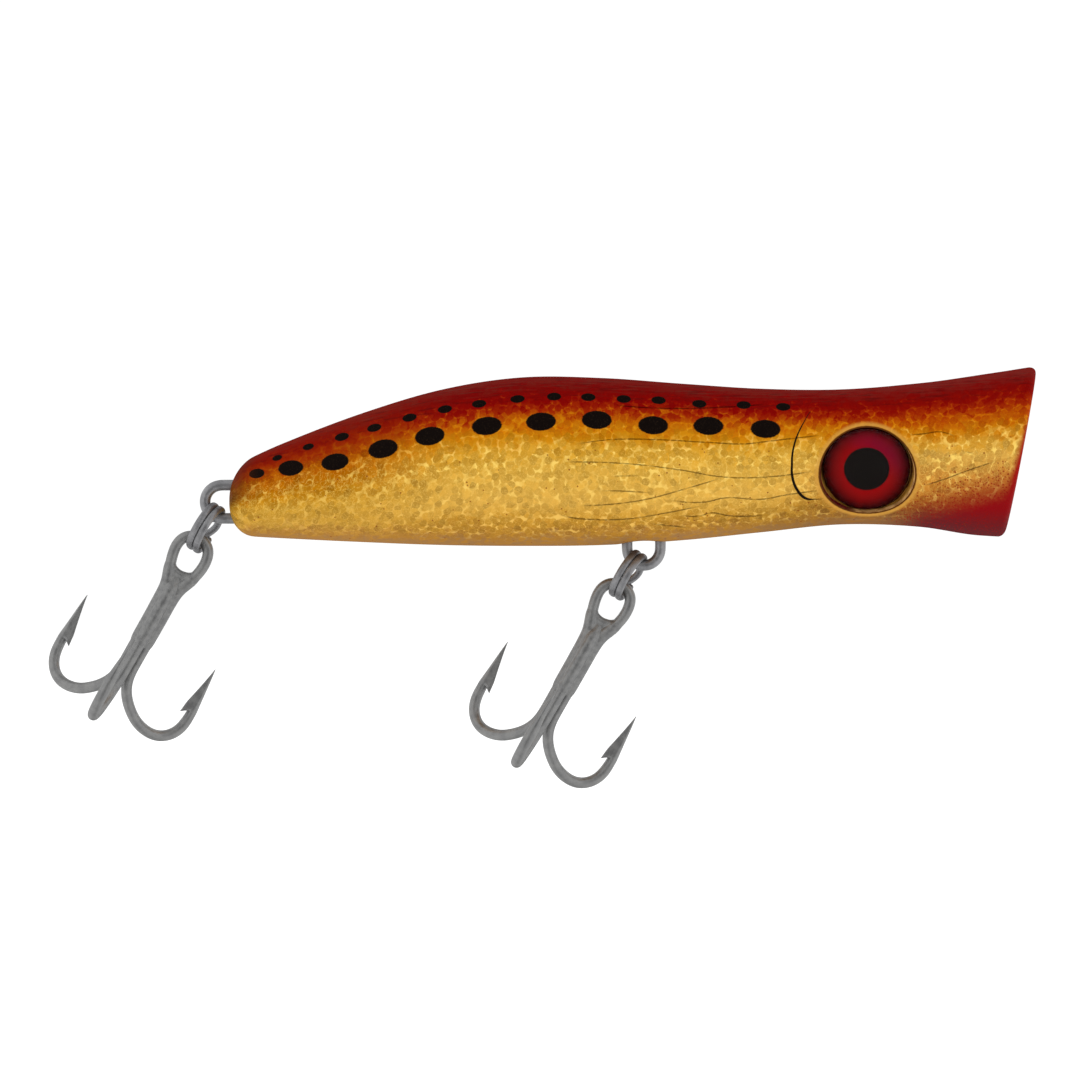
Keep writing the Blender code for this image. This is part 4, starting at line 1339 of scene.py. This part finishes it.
def stage_floor():
    look = Look("pale_floor", {"Roughness": 0.9, "Specular IOR Level": 0.1, "Emission Strength": 1.0,
                               "Emission Color": WHITE})
    grain = look.noise(look.place(), 0.02, 3.0)
    look.drive("Base Color", look.mix(grain, (0.2, 0.2, 0.2, 1.0), (0.24, 0.24, 0.24, 1.0)))
    hooks = [f"{place}_treble_{kind}_hook" for place in ("belly", "tail") for kind in ("double", "single")]
    z = min(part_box(hook)[0].z for hook in hooks) / MM - FLOOR_GAP
    corners = [(x * FLOOR_SIZE, y * FLOOR_SIZE, z) for x, y in ((-1, -1), (1, -1), (1, 1), (-1, 1))]
    floor = new_piece("studio_floor", corners, [(0, 1, 2, 3)], [look.material])
    floor.visible_glossy = False
    floor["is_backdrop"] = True


def softbox(name, direction, target):
    light = bpy.data.lights.new(name, "AREA")
    light.shape = "RECTANGLE"
    light.size, light.size_y = BOX_SIZE
    light.energy = BOX_POWER
    lamp = new_object(name, light)
    lamp.location = target + Vector(direction).normalized() * BOX_DISTANCE
    lamp.rotation_euler = (target - lamp.location).to_track_quat("-Z", "Y").to_euler()
    lamp.visible_glossy = False


def studio_lights():
    low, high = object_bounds()
    target = (low + high) / 2
    for row, y in (("key", -0.75), ("back", 0.75)):
        for side, x in (("left", -1), ("right", 1)):
            softbox(f"{row}_{side}", (x, y, 0.6), target)


def studio_world():
    """White where the camera sees it. For light and reflections: bright at the sides, softer above, and dark
    straight in front and behind."""
    world = bpy.data.worlds.new("studio")
    bpy.context.scene.world = world
    nodes = Nodes(world)
    split = nodes.add("SeparateXYZ", {"Vector": nodes.add("TexCoord", output="Generated")})
    along = split.math("ABSOLUTE")
    facing = split.sibling("Y").math("ABSOLUTE")
    sides = nodes.step(along, 0.0, 0.6, WORLD_ABOVE, WORLD_SIDES)
    glow = sides * nodes.step(facing, 0.8, 0.96, 1.0, WORLD_FRONT)
    lit = nodes.add("Background", {"Color": WHITE, "Strength": glow})
    seen = nodes.add("Background", {"Color": WHITE, "Strength": WORLD_SEEN})
    camera_ray = nodes.add("LightPath", output="Is Camera Ray")
    nodes.surface(nodes.add("MixShader", {0: camera_ray, 1: lit, 2: seen}), "World Output")


def studio_camera():
    data = bpy.data.cameras.new("camera")
    data.sensor_width = SENSOR
    data.lens = SENSOR * VIEW_DISTANCE / VIEW_WIDTH
    data.clip_start = 0.05
    data.clip_end = 50.0
    camera = new_object("camera", data)
    camera.location = VIEW_CENTRE - Vector((0.0, VIEW_DISTANCE, 0.0))
    camera.rotation_euler = (pi / 2, 0.0, 0.0)
    bpy.context.scene.camera = camera


def main():
    bpy.context.scene.view_settings.view_transform = "Standard"
    looks = {
        "paint": body_paint(),
        "socket": socket_paint(),
        "eye": eye_print(),
        "lens": lens_clear(),
        "hanger": worn_metal("hanger_wire", srgb(136, 136, 138), srgb(160, 160, 162), 0.32),
        "ring": worn_metal("ring_wire", srgb(128, 128, 130), srgb(150, 150, 152), 0.36),
        "hook": worn_metal("hook_tin", srgb(130, 130, 130), srgb(146, 146, 145), 0.33),
        "braze": worn_metal("hook_braze", srgb(124, 124, 124), srgb(144, 144, 143), 0.36, 1.1, 0.3),
        "ballast": worn_metal("cast_steel", srgb(96, 96, 98), srgb(130, 130, 132), 0.5, 1.2, 0.6),
        "ball": worn_metal("ball_steel", srgb(190, 190, 194), srgb(214, 214, 218), 0.14, 0.3, 0.1),
    }
    for side, word in ((-1, "right"), (1, "left")):
        make_skin(side, word, looks)
    make_eyes(looks)
    for node in ("line_tie", "belly_hanger", "tail_hanger"):
        make_link(node, looks)
    for place in ("belly", "tail"):
        make_ring(place, looks)
        make_treble(place, looks)
    make_inner(looks)
    stage_floor()
    studio_lights()
    studio_world()
    studio_camera()


main()
